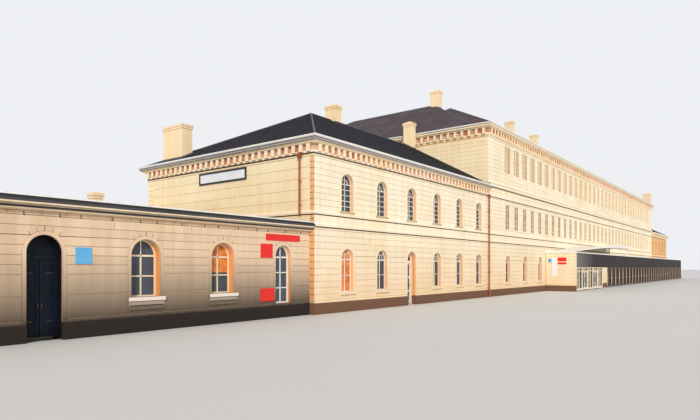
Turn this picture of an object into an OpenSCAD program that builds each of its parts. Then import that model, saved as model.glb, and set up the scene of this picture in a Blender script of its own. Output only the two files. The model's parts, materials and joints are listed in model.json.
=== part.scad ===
// Railway station building, a 1:10 scale model: 100 mm stands for one real metre.
// A single-storey wing, a two-storey hipped block, a long three-storey main block,
// a two-storey end pavilion and a glazed annexe along the platform.

/* [Walls] */
// Thickness of every outer wall
wall_t = 50; // [40:1:60]
// Depth of the building, front wall face to rear wall face
depth = 1486; // [1300:2:1700]
// Height of the plinth at the foot of the walls
plinth_h = 68; // [50:1:80]
// How far the plinth stands out of the wall
plinth_out = 8; // [4:1:12]
// How far the string courses stand out of the wall
string_out = 9; // [5:1:14]
// Height of the lower string course above the ground
lower_string_z = 452; // [448:1:460]
// Height of the sill band below the upper windows
sill_band_z = 516; // [512:1:522]
// Height of a string course
string_h = 14; // [8:1:18]
// Depth of the fine moulding below the top of the two-storey walls
frieze_drop = 91; // [88:1:96]
// Depth of the fine moulding below the top of the main block's walls
main_frieze_drop = 104; // [102:1:110]

/* [Wing] */
// Distance between two axes of the wing's openings
wing_bay = 367; // [340:1:400]
// Number of bays in the wing
wing_bays = 6; // [5:1:8]
// Distance of the first and last axis from the ends of the wing
wing_margin = 192; // [150:1:240]
// How far the wing's front stands back behind the two-storey front
wing_setback = 33; // [25:1:50]
// Depth of the wing, front wall face to rear wall face
wing_depth = 1000; // [800:5:1300]
// Height of the wing's walls
wing_wall_h = 444; // [438:1:450]
// Height of the dark board round the wing's roof
wing_fascia_h = 26; // [20:1:40]
// How far the wing's roof stands out of its walls
wing_eave = 38; // [25:1:50]
// Rise of the wing's low roof
wing_rise = 44; // [25:1:60]
// How far the wing's cornice stands out of its walls
wing_cornice_out = 27; // [14:1:32]
// Height of the wing's cornice
wing_cornice_h = 11; // [8:1:16]
// How far the moulding below the wing's cornice stands out
wing_bed_out = 10; // [6:1:12]
// Height of the moulding below the wing's cornice
wing_bed_h = 9; // [6:1:12]

/* [Two-storey block and pavilion] */
// Distance from the outer corner to the first window axis
block_first = 275; // [240:1:300]
// Distance between two window axes
block_bay = 338; // [320:1:360]
// Distance from the last window axis to the main block's wall
block_last = 187; // [170:1:240]
// Number of bays of the block
block_bays = 6; // [5:1:7]
// Number of bays of the pavilion at the far end
pavilion_bays = 5; // [3:1:7]
// Height of the block's walls, up to the roof
block_wall_h = 905; // [895:1:930]
// Rise of the block's roof
block_rise = 425; // [350:5:480]
// Length of the hipped end of the block's roof
block_hip = 850; // [600:10:1000]

/* [Main block] */
// Distance between two arches of the main block's ground storey
main_bay = 420; // [400:2:440]
// Number of arches along the ground storey
main_arches = 17; // [15:1:18]
// Height of the main block's walls, up to the roof
main_wall_h = 1418; // [1400:2:1460]
// Height of the cornice between the first and the second floor
mid_cornice_z = 912; // [904:1:920]
// Rise of the main block's roof
main_rise = 430; // [350:5:480]
// Length of the hipped ends of the main block's roof
main_hip = 815; // [600:5:950]

/* [Rear wing] */
// Width of the wing behind the main block's left end
rear_w = 1554; // [1500:2:1600]
// How far the rear wing stands out behind the main block
rear_len = 1266; // [1100:2:1400]
// Number of the main block's arches that the rear wing covers
rear_bays = 3; // [3:1:3]
// Number of arches along each side of the rear wing
rear_side_bays = 2; // [1:1:2]
// Rise of the rear wing's roof
rear_rise = 494; // [440:2:520]
// Length of the hipped ends of the rear wing's roof
rear_hip = 815; // [600:5:900]
// Distance behind the front at which the rear wing's roof begins, inside the main roof
rear_roof_start = 115; // [60:5:200]

/* [Windows] */
// Width of an arched window or doorway in the two-storey block
arch_w = 110; // [100:1:120]
// Height of the crown of the ground storey's arches
ground_crown = 343; // [335:1:350]
// Height of the ground storey's window sills
ground_sill = 107; // [90:1:125]
// Height of the upper windows' sills
upper_sill = 545; // [540:1:560]
// Depth of the crown of the upper windows' arches below the top of the wall
upper_crown_drop = 153; // [145:1:165]
// Width of the wing's arched windows
wing_window_w = 125; // [110:1:140]
// Height of the wing's window sills
wing_sill = 130; // [115:1:145]
// Height of the crown of the wing's arches
wing_crown = 348; // [335:1:355]
// Width of the wing's tall glazed window beside the two-storey block
tall_window_w = 104; // [95:1:120]
// Width of the wing's arched doorway
portal_w = 114; // [105:1:130]
// Width of the main block's first-floor windows
first_w = 103; // [90:1:120]
// Height of the first-floor windows
first_h = 224; // [200:1:235]
// Height of the first-floor windows' sills
first_sill = 566; // [555:1:575]
// Width of one narrow second-floor window
narrow_w = 55; // [45:1:62]
// Width of the pier between a pair of narrow windows
narrow_pier = 30; // [24:1:40]
// Height of the second-floor windows' sills
second_sill = 1060; // [1040:1:1075]
// Depth of the second-floor windows' heads below the top of the wall
second_head_drop = 125; // [115:1:150]
// Width of the raised band round an arched opening
band_w = 12; // [8:1:16]
// How far the raised band stands out of the wall
band_out = 3; // [2:0.5:4]
// Height of a window's stone sill
sill_h = 14; // [10:1:18]
// How far a sill stands out of the wall
sill_out = 12; // [8:1:14]
// How far a sill reaches past the opening on each side
sill_lap = 15; // [12:1:18]
// Height of the stone block under a sill of the wing
apron_h = 34; // [24:1:36]
// How far the stone block under a sill stands out of the wall
apron_out = 7; // [4:1:8]
// Thickness of a sheet of glass behind a storey's windows
glass_t = 3; // [2:0.5:5]
// How far a sheet of glass reaches past the windows it closes
glass_lap = 15; // [8:1:20]

/* [Cornices] */
// Distance between two dentils of the block and the pavilion
dentil_pitch = 50; // [40:1:70]
// Width of a dentil
dentil_w = 24; // [16:1:30]
// How far a dentil stands out of its bed
dentil_out = 16; // [10:1:20]
// Height of a dentil
dentil_h = 40; // [30:1:44]
// Distance between two dentils of the main block
main_dentil_pitch = 62; // [50:1:80]
// Height of a dentil of the main block
main_dentil_h = 52; // [40:1:56]
// How far the bed of the dentils stands out of the wall
bed_out = 5; // [3:1:8]
// How far the top slab of a cornice stands out of the wall
corona_out = 38; // [30:1:45]
// Height of the top slab of a cornice
corona_h = 20; // [14:1:24]
// Width and height of the white gutter
gutter_w = 12; // [8:1:16]

/* [Roofs and floors] */
// Thickness of the roofs, measured upright
roof_t = 12; // [8:1:16]
// Thickness of the ground floor's slab
slab_t = 10; // [8:1:12]
// Thickness of the upper floors
floor_t = 28; // [20:1:35]
// Height of the top of the first floor
first_floor_z = 480; // [474:1:490]
// Height of the top of the second floor
second_floor_z = 940; // [934:1:950]

/* [Doors] */
// Gap round a door leaf
door_gap = 3; // [2:0.5:4]
// Thickness of a door leaf
leaf_t = 6; // [5:0.5:7]
// Width of a door frame's posts
frame_w = 8; // [6:0.5:10]
// Depth of a door frame
frame_d = 12; // [10:0.5:14]
// Height of the underside of a doorway's transom
transom_z = 272; // [262:1:276]
// Height of a transom
transom_h = 12; // [8:1:14]
// Thickness of the board in the arched head of a doorway
head_t = 4; // [3:0.5:6]
// Width of the stiles and rails of a door leaf
stile_w = 9; // [6:0.5:11]
// Depth of the panels of a door leaf on each face
panel_recess = 2; // [1:0.5:2]
// How far the wall over a doorway reaches past it on each side
shoulder = 32; // [20:1:50]
// How far the wall over a doorway reaches below the springing of its arch
impost_drop = 14; // [6:1:20]
// Distance of a door leaf behind the wall's face
leaf_setback = 38; // [30:1:42]
// How far the doorstop laps over the leaf's edge
stop_lap = 5; // [4:0.5:6]

/* [Annexe] */
// Distance from the two-storey block to the annexe
annexe_start = 1420; // [1380:5:1700]
// Length of one bay of the annexe's glazing
annexe_bay = 210; // [200:1:220]
// Number of bays in the annexe's glazing
annexe_bays = 37; // [30:1:37]
// How far the annexe stands out in front of the main block
annexe_out = 294; // [250:2:340]
// Width of the posts between the annexe's bays
post_w = 14; // [10:1:18]
// Depth of the annexe's posts and rails
post_d = 14; // [12:1:18]
// Height of the rail at the foot of the glazing
foot_rail_h = 16; // [12:1:24]
// Height of the glazing, from the floor slab to the fascia
annexe_glazing_h = 229; // [220:1:236]
// Height of the small lights over the annexe's doors
annexe_toplight_h = 34; // [24:1:40]
// Height of the rails in the glazing
rail_h = 6; // [4:0.5:8]
// Height of the grey fascia over the glazing
fascia_h = 146; // [110:1:150]
// Thickness of the fascia
fascia_t = 20; // [14:1:26]
// Thickness of the annexe's roof at its front edge
annexe_roof_t = 10; // [8:1:14]
// Rise of the annexe's roof towards the main block
annexe_rise = 20; // [12:1:36]
// Length of the curved canopy over the annexe's entrance
canopy_len = 2600; // [1800:20:3000]
// Height of the canopy's high end above the annexe's roof
canopy_rise = 125; // [90:5:130]
// Thickness of the canopy
canopy_t = 28; // [16:1:32]

/* [Chimneys and pipes] */
// Width of an ordinary chimney, along the building
chimney_w = 66; // [54:2:100]
// Depth of an ordinary chimney, across the building
chimney_d = 98; // [70:2:120]
// How far a chimney's cap stands out
chimney_cap = 7; // [4:1:12]
// Height of a chimney's cap
chimney_cap_h = 14; // [8:1:20]
// Height of the low pyramid on an ordinary chimney's cap
chimney_peak = 18; // [10:1:24]
// Distance of the large stack's middle from the block's end
stack_from_end = 80; // [70:1:120]
// Distance of the large stack's middle from the rear of the building
stack_from_rear = 216; // [200:2:300]
// Width of the large stack, along the building
stack_w = 80; // [70:2:120]
// Depth of the large stack, across the building
stack_d = 204; // [180:2:300]
// Height of the large stack above the block's walls
stack_rise = 265; // [220:5:300]
// Distance of the ridge chimney from the block's end
ridge_chimney_from_end = 1060; // [950:5:1150]
// Height of the ridge chimney above the block's ridge
ridge_chimney_rise = 106; // [90:1:150]
// Distance of the junction chimney's middle from the main block
junction_chimney_off = 87; // [87:1:150]
// Distance of the junction chimney's middle in front of the ridge
junction_chimney_front = 45; // [0:1:80]
// Height of the junction chimney above the block's ridge
junction_chimney_rise = 179; // [150:1:240]
// Distance of the main block's first chimney from its left wall
main_chimney_1 = 748; // [700:2:900]
// Distance of that chimney behind the ridge
main_chimney_back = 147; // [80:1:200]
// Distance of the main block's second chimney from its left wall
main_chimney_2 = 2348; // [2000:4:2600]
// Distance of the main block's third chimney from its left wall
main_chimney_3 = 3218; // [3000:2:4000]
// Height of the main block's chimneys above its ridge
main_chimney_rise = 190; // [160:5:250]
// Distance of the last chimney's middle from the main block's right end
end_chimney_off = 57; // [55:1:120]
// Distance of the last chimney's middle behind the front
end_chimney_back = 66; // [60:1:140]
// Width of the last chimney, along the building
end_chimney_w = 106; // [90:2:130]
// Depth of the last chimney, across the building
end_chimney_d = 128; // [100:2:180]
// Height of the last chimney above the main block's walls
end_chimney_rise = 217; // [180:1:260]
// Distance of the wing's chimney from the two-storey block
wing_chimney_off = 632; // [500:1:700]
// Distance of the wing's chimney in front of the wing's rear wall face
wing_chimney_back = 60; // [55:1:200]
// Width and depth of the wing's chimney
wing_chimney_w = 51; // [40:1:70]
// Height of the wing's chimney above its fascia
wing_chimney_rise = 160; // [120:5:200]
// Radius of a downpipe
pipe_r = 6; // [4:0.5:8]
// Gap between a downpipe and the moulding it passes
pipe_gap = 1.5; // [1:0.5:3]
// Distance of the end wall's downpipe from the block's front
end_pipe_back = 87; // [70:1:120]
// Distance of the front downpipe from the main block
front_pipe_off = 15; // [10:1:20]

/* [Hidden] */

stucco = [0.93, 0.86, 0.72];
slate = [0.13, 0.14, 0.19];
white = [0.93, 0.93, 0.92];
grey = [0.45, 0.45, 0.46];
navy = [0.07, 0.10, 0.18];
brown = [0.42, 0.22, 0.13];
pane = [0.25, 0.32, 0.38, 0.6];
screed = [0.55, 0.53, 0.50];

// Lengths and places that follow from the sizes above, along the front from the block's corner
wing_len = 2 * wing_margin + (wing_bays - 1) * wing_bay;
block_len = block_first + (block_bays - 1) * block_bay + block_last;
pavilion_len = block_first + (pavilion_bays - 1) * block_bay + block_last;
main_len = (main_arches + 1) * main_bay;
main_x = block_len;
pavilion_x = main_x + main_len;
annexe_x = main_x + annexe_start;
annexe_len = annexe_bays * annexe_bay;
annexe_eave = slab_t + annexe_glazing_h + fascia_h;
frieze_z = block_wall_h - frieze_drop;
upper_crown = block_wall_h - upper_crown_drop;
second_h = main_wall_h - second_head_drop - second_sill;
frieze_h = 0.6 * string_h;
frieze_out = 0.6 * string_out;
door_bay = 2;
portal_bay = 3;
portal_x = -wing_margin - portal_bay * wing_bay;
door_x = block_first + door_bay * block_bay;
entrance_bays = 5;
door_bays = [1, 3];
pier_bay = 5;
rear_side_first = (rear_len - (rear_side_bays - 1) * main_bay) / 2;
rear_end_first = (rear_w - (rear_bays - 1) * main_bay) / 2;
cut = 1;

// Puts the middle of the two-storey block's footprint at the origin
module set_out() {
    translate([-block_len / 2, -depth / 2, 0]) children();
}

// A flat outline drawn as seen from the front, made into a wall of thickness t behind y = 0
module upright(t) {
    translate([0, t, 0]) rotate([90, 0, 0]) linear_extrude(t) children();
}

// An opening with a round arch, standing on height low, its crown at height high
module arch(w, low, high) {
    translate([-w / 2, low]) square([w, high - w / 2 - low]);
    translate([0, high - w / 2]) circle(d = w, $fn = 48);
}

module box2(w, low, high) {
    translate([-w / 2, low]) square([w, high - low]);
}

// A flat outline made into a layer of thickness t in front of the wall's face
module proud(t) {
    translate([0, -t, 0]) upright(t) children();
}

// Outline of the raised band round an arched opening
module band(w, low, high) {
    difference() {
        arch(w + 2 * band_w, low, high + band_w);
        arch(w, low - cut, high);
    }
}

// A stone sill whose top is at height z
module sill(w, z) {
    translate([-w / 2 - sill_lap, -sill_out, z - sill_h])
        cube([w + 2 * sill_lap, sill_out, sill_h]);
}

// A course that runs along a front from x0 to x1, with a sloping top that sheds the rain.
// e0 and e1 are 1 where it turns a corner, -1 where it stops at another course
module course(x0, x1, z, h, out, e0 = 0, e1 = 0) {
    translate([x0 - e0 * out, 0, 0]) rotate([90, 0, 90])
        linear_extrude(x1 - x0 + (e0 + e1) * out)
        polygon([[0, z], [-out, z], [-out, z + 0.7 * h], [0, z + h]]);
}

module plinth(x0, x1, e0 = 0, e1 = 0) {
    course(x0, x1, 0, plinth_h, plinth_out, e0, e1);
}

// The two string courses over the ground storey
module lower_strings(x0, x1, e0 = 0, e1 = 0) {
    course(x0, x1, lower_string_z - string_h, frieze_h, frieze_out, e0, e1);
    course(x0, x1, lower_string_z, string_h, string_out, e0, e1);
}

module two_storey_courses(x0, x1, e0 = 0, e1 = 0) {
    lower_strings(x0, x1, e0, e1);
    course(x0, x1, sill_band_z, string_h, string_out, e0, e1);
    course(x0, x1, frieze_z, frieze_h, frieze_out, e0, e1);
}

// Ring round a rectangle, standing out by the four amounts left, right, front and back
module ring(len, wid, left, right, front, back) {
    difference() {
        translate([-left, -front]) square([len + left + right, wid + front + back]);
        square([len, wid]);
    }
}

// Points of one toothed edge: origin o, direction d, outward direction n
function teeth(o, d, n, len, pitch, w, low, high) =
    let (count = floor(len / pitch), step = len / count)
    [for (i = [0 : count - 1], p = [[-w / 2, low], [-w / 2, high], [w / 2, high], [w / 2, low]])
        o + d * ((i + 0.5) * step + p[0]) + n * p[1]];

// Outline with dentils on the front and back, and on the left and right where those are free
module dentil_outline(len, wid, left, right, pitch) {
    a = bed_out;
    b = bed_out + dentil_out;
    difference() {
        polygon(concat(
            [[left ? -a : 0, -a]],
            teeth([0, 0], [1, 0], [0, -1], len, pitch, dentil_w, a, b),
            [[right ? len + a : len, -a]],
            right ? teeth([len, 0], [0, 1], [1, 0], wid, pitch, dentil_w, a, b) : [],
            [[right ? len + a : len, wid + a]],
            teeth([len, wid], [-1, 0], [0, 1], len, pitch, dentil_w, a, b),
            [[left ? -a : 0, wid + a]],
            left ? teeth([0, wid], [0, -1], [-1, 0], wid, pitch, dentil_w, a, b) : []));
        square([len, wid]);
    }
}

// Cornice of a rectangular block: a dentil course under two projecting slabs
module cornice(len, wid, left, right, top, pitch, tooth_h) {
    slab_z = top - corona_h;
    bed_h = 0.5 * corona_h;
    step_out = bed_out + dentil_out + 5;
    l = left ? 1 : 0;
    r = right ? 1 : 0;
    translate([0, 0, slab_z - bed_h - tooth_h]) linear_extrude(tooth_h)
        dentil_outline(len, wid, left, right, pitch);
    translate([0, 0, slab_z - bed_h]) linear_extrude(bed_h)
        ring(len, wid, l * step_out, r * step_out, step_out, step_out);
    translate([0, 0, slab_z]) linear_extrude(corona_h)
        ring(len, wid, l * corona_out, r * corona_out, corona_out, corona_out);
}

// Solid under a hipped roof with a ridge along x; a hip of 0 is a gable
module roof_solid(x0, x1, y0, y1, z, rise, hip0, hip1) {
    ym = (y0 + y1) / 2;
    hull() {
        polyhedron(
            points = [[x0, y0, z], [x1, y0, z], [x1, y1, z], [x0, y1, z],
                      [x0 + hip0, ym, z + rise], [x1 - hip1, ym, z + rise]],
            faces = [[0, 1, 2, 3], [0, 4, 5, 1], [2, 5, 4, 3], [1, 5, 2], [0, 3, 4]]);
    }
}

// Shell of a hipped roof, open below; open0 and open1 say which gable stands against a wall
module roof_shell(x0, x1, y0, y1, z, rise, hip0, hip1, t, open0 = false, open1 = false) {
    difference() {
        roof_solid(x0, x1, y0, y1, z, rise, hip0, hip1);
        roof_solid(x0 - (open0 ? cut : 0), x1 + (open1 ? cut : 0), y0, y1, z - t, rise,
            hip0, hip1);
    }
}

// Wing

module at_wing() {
    translate([0, wing_setback, 0]) children();
}

function wing_axis(i) = -wing_margin - i * wing_bay;

module wing_openings(first, last, front) {
    for (i = [first : last]) translate([wing_axis(i), 0]) {
        if (front && i == 0) arch(tall_window_w, plinth_h, wing_crown);
        else arch(wing_window_w, wing_sill, wing_crown);
    }
}

// Raised bands of the wing's openings, with that of the doorway
module wing_bands(first, last, front) {
    for (i = [first : last]) translate([wing_axis(i), 0]) {
        if (front && i == 0) band(tall_window_w, plinth_h, wing_crown);
        else band(wing_window_w, wing_sill, wing_crown);
    }
    if (front) translate([portal_x, 0]) band(portal_w, plinth_h, wing_crown);
}

// Sills of the wing's windows, each on its block of stone
module wing_sills(first, last, front) {
    for (i = [first : last]) if (!front || i > 0) translate([wing_axis(i), 0, 0]) {
        sill(wing_window_w, wing_sill);
        translate([-wing_window_w / 2 - band_w, -apron_out, wing_sill - sill_h - apron_h])
            cube([wing_window_w + 2 * band_w, apron_out, apron_h]);
    }
}

module over_portal_area() {
    translate([portal_x - portal_w / 2 - shoulder, wing_crown - portal_w / 2 - impost_drop])
        square([portal_w + 2 * shoulder, wing_wall_h]);
}

module wing_wall_part(x0, x1, first, last) {
    upright(wall_t) difference() {
        translate([x0, 0]) square([x1 - x0, wing_wall_h]);
        over_portal_area();
        wing_openings(first, last, true);
    }
    proud(band_out) difference() {
        intersection() {
            translate([x0, 0]) square([x1 - x0, wing_wall_h]);
            wing_bands(first, last, true);
        }
        over_portal_area();
    }
    plinth(x0, x1);
    wing_sills(first, last, true);
}

module wing_front_wall_left() {
    color(stucco) set_out() at_wing()
        wing_wall_part(-wing_len, portal_x - portal_w / 2, portal_bay + 1, wing_bays - 1);
}

module wing_front_wall_right() {
    color(stucco) set_out() at_wing()
        wing_wall_part(portal_x + portal_w / 2, 0, 0, portal_bay - 1);
}

module wing_wall_over_portal() {
    color(stucco) set_out() at_wing() {
        upright(wall_t) difference() {
            intersection() {
                over_portal_area();
                translate([-wing_len, 0]) square([wing_len, wing_wall_h]);
            }
            translate([portal_x, 0]) arch(portal_w, 0, wing_crown);
        }
        proud(band_out) intersection() {
            over_portal_area();
            translate([portal_x, 0]) band(portal_w, plinth_h, wing_crown);
        }
    }
}

module wing_rear_wall() {
    color(stucco) set_out() translate([0, wing_setback + wing_depth, 0]) mirror([0, 1, 0]) {
        upright(wall_t) difference() {
            translate([-wing_len, 0]) square([wing_len, wing_wall_h]);
            wing_openings(0, wing_bays - 1, false);
        }
        proud(band_out) wing_bands(0, wing_bays - 1, false);
        plinth(-wing_len, 0);
        wing_sills(0, wing_bays - 1, false);
    }
}

module wing_end_wall() {
    color(stucco) set_out() at_wing() translate([-wing_len, 0, 0]) {
        translate([0, wall_t, 0]) cube([wall_t, wing_depth - 2 * wall_t, wing_wall_h]);
        translate([-plinth_out, -plinth_out, 0])
            cube([plinth_out, wing_depth + 2 * plinth_out, 0.85 * plinth_h]);
    }
}

module wing_cornice() {
    bed_z = wing_wall_h - wing_cornice_h - wing_bed_h;
    color(stucco) set_out() translate([-wing_len, wing_setback, 0]) {
        translate([0, 0, bed_z]) linear_extrude(wing_bed_h)
            ring(wing_len, wing_depth, wing_bed_out, 0, wing_bed_out, wing_bed_out);
        translate([0, 0, wing_wall_h - wing_cornice_h]) linear_extrude(wing_cornice_h)
            ring(wing_len, wing_depth, wing_cornice_out, 0, wing_cornice_out,
                wing_cornice_out);
    }
}

module wing_roof() {
    color(slate) set_out() {
        translate([-wing_len, wing_setback, wing_wall_h]) linear_extrude(wing_fascia_h)
            difference() {
                translate([-wing_eave, -wing_eave])
                    square([wing_len + wing_eave, wing_depth + 2 * wing_eave]);
                translate([wall_t, wall_t])
                    square([wing_len, wing_depth - 2 * wall_t]);
            }
        roof_shell(-wing_len - wing_eave, 0, wing_setback - wing_eave,
            wing_setback + wing_depth + wing_eave, wing_wall_h + wing_fascia_h, wing_rise,
            wing_depth / 2, 0, 0.6 * roof_t, open1 = true);
    }
}

// Frame of an arched doorway: posts, transom and a solid or open head, with a stop at the front
module doorway_frame(w, crown) {
    difference() {
        upright(frame_d) difference() {
            arch(w, 0, crown);
            box2(w - 2 * frame_w, -cut, transom_z);
        }
        translate([0, -cut, 0]) upright(frame_d - head_t + cut)
            intersection() {
                translate([0, frame_w]) arch(w - 2 * frame_w, 0, crown - 2 * frame_w);
                box2(w, transom_z + transom_h, crown);
            }
    }
    upright(frame_d - leaf_t - door_gap - 1) difference() {
        box2(w - frame_w, 0, transom_z + frame_w / 2);
        box2(w - 2 * frame_w - 2 * stop_lap, -cut, transom_z - stop_lap);
    }
}

module portal_frame() {
    color(navy) set_out() translate([portal_x, wing_setback + leaf_setback - head_t, 0])
        doorway_frame(portal_w, wing_crown);
}

module portal_leaf_left() {
    color(navy) set_out() translate([portal_x, wing_setback, 0]) portal_leaf();
}

module portal_leaf_right() {
    color(navy) set_out() translate([portal_x, wing_setback, 0]) mirror([1, 0, 0]) portal_leaf();
}

function leaf_low() = slab_t + door_gap;

// One leaf of the portal's pair, its hinge at its left edge
module portal_leaf() {
    w = (portal_w - 2 * frame_w - 3 * door_gap) / 2;
    h = transom_z - door_gap - leaf_low();
    panel = 0.6 * w;
    translate([-portal_w / 2 + frame_w + door_gap, leaf_setback + frame_d - head_t - leaf_t, leaf_low()])
        difference() {
            cube([w, leaf_t, h]);
            for (y = [-cut, leaf_t - panel_recess], z = [0.08 * h, 0.54 * h])
                translate([(w - panel) / 2, y, z]) cube([panel, panel_recess + cut, 0.38 * h]);
        }
}

// Two-storey block and pavilion

function block_axis(i) = block_first + i * block_bay;

module block_openings(first, last, front, skip = -1) {
    for (i = [first : last]) translate([block_axis(i), 0]) {
        if (i != skip) arch(arch_w, ground_sill, ground_crown);
        arch(arch_w, upper_sill, upper_crown);
    }
}

// Raised bands of the two-storey openings, with those of the bay of the door
module block_bands(first, last) {
    for (i = [first : last]) translate([block_axis(i), 0]) {
        band(arch_w, ground_sill, ground_crown);
        band(arch_w, upper_sill, upper_crown);
    }
}

module door_bands() {
    translate([door_x, 0]) {
        band(arch_w, plinth_h, ground_crown);
        band(arch_w, upper_sill, upper_crown);
    }
}

module block_sills(first, last) {
    for (i = [first : last]) translate([block_axis(i), 0, 0]) sill(arch_w, ground_sill);
}

module over_door_area() {
    translate([door_x - arch_w / 2 - shoulder, ground_crown - arch_w / 2 - impost_drop])
        square([arch_w + 2 * shoulder, block_wall_h]);
}

module block_wall_part(x0, x1, first, last) {
    edge0 = x0 > 0 ? x0 + shoulder : x0;
    edge1 = x1 < block_len ? x1 - shoulder : x1;
    upright(wall_t) difference() {
        translate([x0, 0]) square([x1 - x0, block_wall_h]);
        over_door_area();
        block_openings(first, last, true);
    }
    proud(band_out) difference() {
        intersection() {
            translate([x0, 0]) square([x1 - x0, block_wall_h]);
            union() {
                block_bands(first, last);
                door_bands();
            }
        }
        over_door_area();
    }
    plinth(x0, x1);
    two_storey_courses(edge0, edge1);
    block_sills(first, last);
}

module block_front_wall_left() {
    color(stucco) set_out() {
        block_wall_part(0, door_x - arch_w / 2, 0, door_bay - 1);
        course(0, 0, frieze_z, frieze_h, frieze_out, 1);
        course(0, 0, sill_band_z, string_h, string_out, 1);
        translate([-plinth_out, -plinth_out, 0])
            cube([plinth_out, wing_setback, 0.85 * plinth_h]);
    }
}

module block_front_wall_right() {
    color(stucco) set_out()
        block_wall_part(door_x + arch_w / 2, block_len, door_bay + 1, block_bays - 1);
}

module block_wall_over_door() {
    half = arch_w / 2 + shoulder;
    low = ground_crown - arch_w / 2 - impost_drop;
    color(stucco) set_out() {
        upright(wall_t) difference() {
            translate([door_x - half, low]) square([2 * half, block_wall_h - low]);
            translate([door_x, 0]) arch(arch_w, 0, ground_crown);
            translate([door_x, 0]) arch(arch_w, upper_sill, upper_crown);
        }
        proud(band_out) intersection() {
            over_door_area();
            door_bands();
        }
        two_storey_courses(door_x - half, door_x + half);
    }
}

// The courses below the wing's eave start behind the wing
module block_end_wall() {
    free = depth - wing_setback - wing_depth;
    color(stucco) set_out() {
        translate([0, wall_t, 0]) cube([wall_t, depth - 2 * wall_t, block_wall_h]);
        translate([0, depth, 0]) rotate([0, 0, -90]) {
            plinth(0, free - plinth_out, 1);
            lower_strings(0, free - wing_eave, 1);
            course(0, depth, sill_band_z, string_h, string_out, 1);
            course(0, depth, frieze_z, frieze_h, frieze_out, 1);
        }
    }
}

// A two-storey wall with a number of window bays and no door
module two_storey_wall(bays) {
    len = block_first + (bays - 1) * block_bay + block_last;
    upright(wall_t) difference() {
        square([len, block_wall_h]);
        block_openings(0, bays - 1, false);
    }
    proud(band_out) block_bands(0, bays - 1);
    plinth(0, len);
    two_storey_courses(0, len);
    block_sills(0, bays - 1);
}

// Roof of a two-storey part: a hip at its free end, open against the main block
module two_storey_roof(len) {
    roof_shell(-corona_out, len, -corona_out, depth + corona_out, block_wall_h, block_rise,
        block_hip, 0, roof_t, open1 = true);
}

module block_rear_wall() {
    color(stucco) set_out() translate([0, depth, 0]) mirror([0, 1, 0])
        two_storey_wall(block_bays);
}

module block_cornice() {
    color(stucco) set_out()
        cornice(block_len, depth, true, false, block_wall_h, dentil_pitch, dentil_h);
}

module block_roof() {
    color(slate) set_out() two_storey_roof(block_len);
}

module block_door_frame() {
    color(white) set_out() translate([door_x, leaf_setback - head_t, 0])
        doorway_frame(arch_w, ground_crown);
}

module block_door() {
    w = arch_w - 2 * frame_w - 2 * door_gap;
    h = transom_z - door_gap - leaf_low();
    panel_h = 0.24 * h;
    light_h = (h - panel_h - 4 * stile_w) / 2;
    color(grey) set_out()
        translate([door_x - w / 2, leaf_setback + frame_d - head_t - leaf_t, leaf_low()])
        difference() {
            cube([w, leaf_t, h]);
            for (y = [-cut, leaf_t - panel_recess]) {
                translate([stile_w, y, stile_w])
                    cube([w - 2 * stile_w, panel_recess + cut, panel_h]);
                for (k = [0, 1])
                    translate([stile_w, y, 2 * stile_w + panel_h + k * (light_h + stile_w)])
                        cube([w - 2 * stile_w, panel_recess + cut, light_h]);
            }
        }
}

// Main block

// Openings of a three-storey wall: arches from the place first on, windows at every half bay
module range_openings(first, arches) {
    for (i = [0 : arches - 1])
        translate([first + i * main_bay, 0]) arch(arch_w, ground_sill, ground_crown);
    for (i = [0 : 2 * (arches - 1)]) translate([first + i * main_bay / 2, 0]) {
        box2(first_w, first_sill, first_sill + first_h);
        for (s = [-1, 1]) translate([s * (narrow_w + narrow_pier) / 2, 0])
            box2(narrow_w, second_sill, second_sill + second_h);
    }
}

module range_wall(len, first, arches) {
    upright(wall_t) difference() {
        square([len, main_wall_h]);
        range_openings(first, arches);
    }
    for (i = [0 : arches - 1]) translate([first + i * main_bay, 0, 0]) {
        proud(band_out) band(arch_w, ground_sill, ground_crown);
        sill(arch_w, ground_sill);
    }
}

module range_courses(x0, x1, e0 = 0, e1 = 0) {
    plinth(x0, x1, e0, e1);
    two_storey_courses(x0, x1, e0, e1);
    course(x0, x1, mid_cornice_z, 2 * string_h, 2.4 * string_out, e0, e1);
    course(x0, x1, main_wall_h - main_frieze_drop, frieze_h, frieze_out, e0, e1);
}

module main_front_wall() {
    color(stucco) set_out() translate([main_x, 0, 0]) {
        range_wall(main_len, main_bay, main_arches);
        range_courses(0, main_len);
    }
}

// The rear wall has no windows or courses where the rear wing stands against it
module main_rear_wall() {
    color(stucco) set_out() translate([main_x, depth, 0]) mirror([0, 1, 0]) {
        range_wall(main_len, (rear_bays + 1) * main_bay, main_arches - rear_bays);
        range_courses(rear_w, main_len, -1);
    }
}

module main_end_walls() {
    color(stucco) set_out() for (x = [main_x, pavilion_x - wall_t])
        translate([x, wall_t, 0]) cube([wall_t, depth - 2 * wall_t, main_wall_h]);
}

module main_cornice() {
    color(stucco) set_out() difference() {
        translate([main_x, 0, 0])
            cornice(main_len, depth, true, true, main_wall_h, main_dentil_pitch,
                main_dentil_h);
        translate([main_x - 2 * corona_out, depth, 0])
            cube([rear_w + 3 * corona_out, 2 * corona_out, main_wall_h + cut]);
    }
}

// Solid under the main roof, grown by the amount more on every side
module main_roof_solid(more = 0) {
    out = corona_out + 4 * more;
    roof_solid(main_x - out, pavilion_x + out, -out, depth + out, main_wall_h - more,
        main_rise + 2 * more, main_hip, main_hip);
}

module main_roof() {
    color(slate) set_out()
        roof_shell(main_x - corona_out, pavilion_x + corona_out, -corona_out,
            depth + corona_out, main_wall_h, main_rise, main_hip, main_hip, roof_t);
}

// Rear wing, as high as the main block, behind its left end

// Puts a wall that is drawn as a front at the left side of the rear wing (0) or the right (1)
module at_rear_side(k) {
    translate([main_x + k * rear_w, depth, 0]) mirror([1 - k, 0, 0]) rotate([0, 0, 90])
        children();
}

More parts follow.
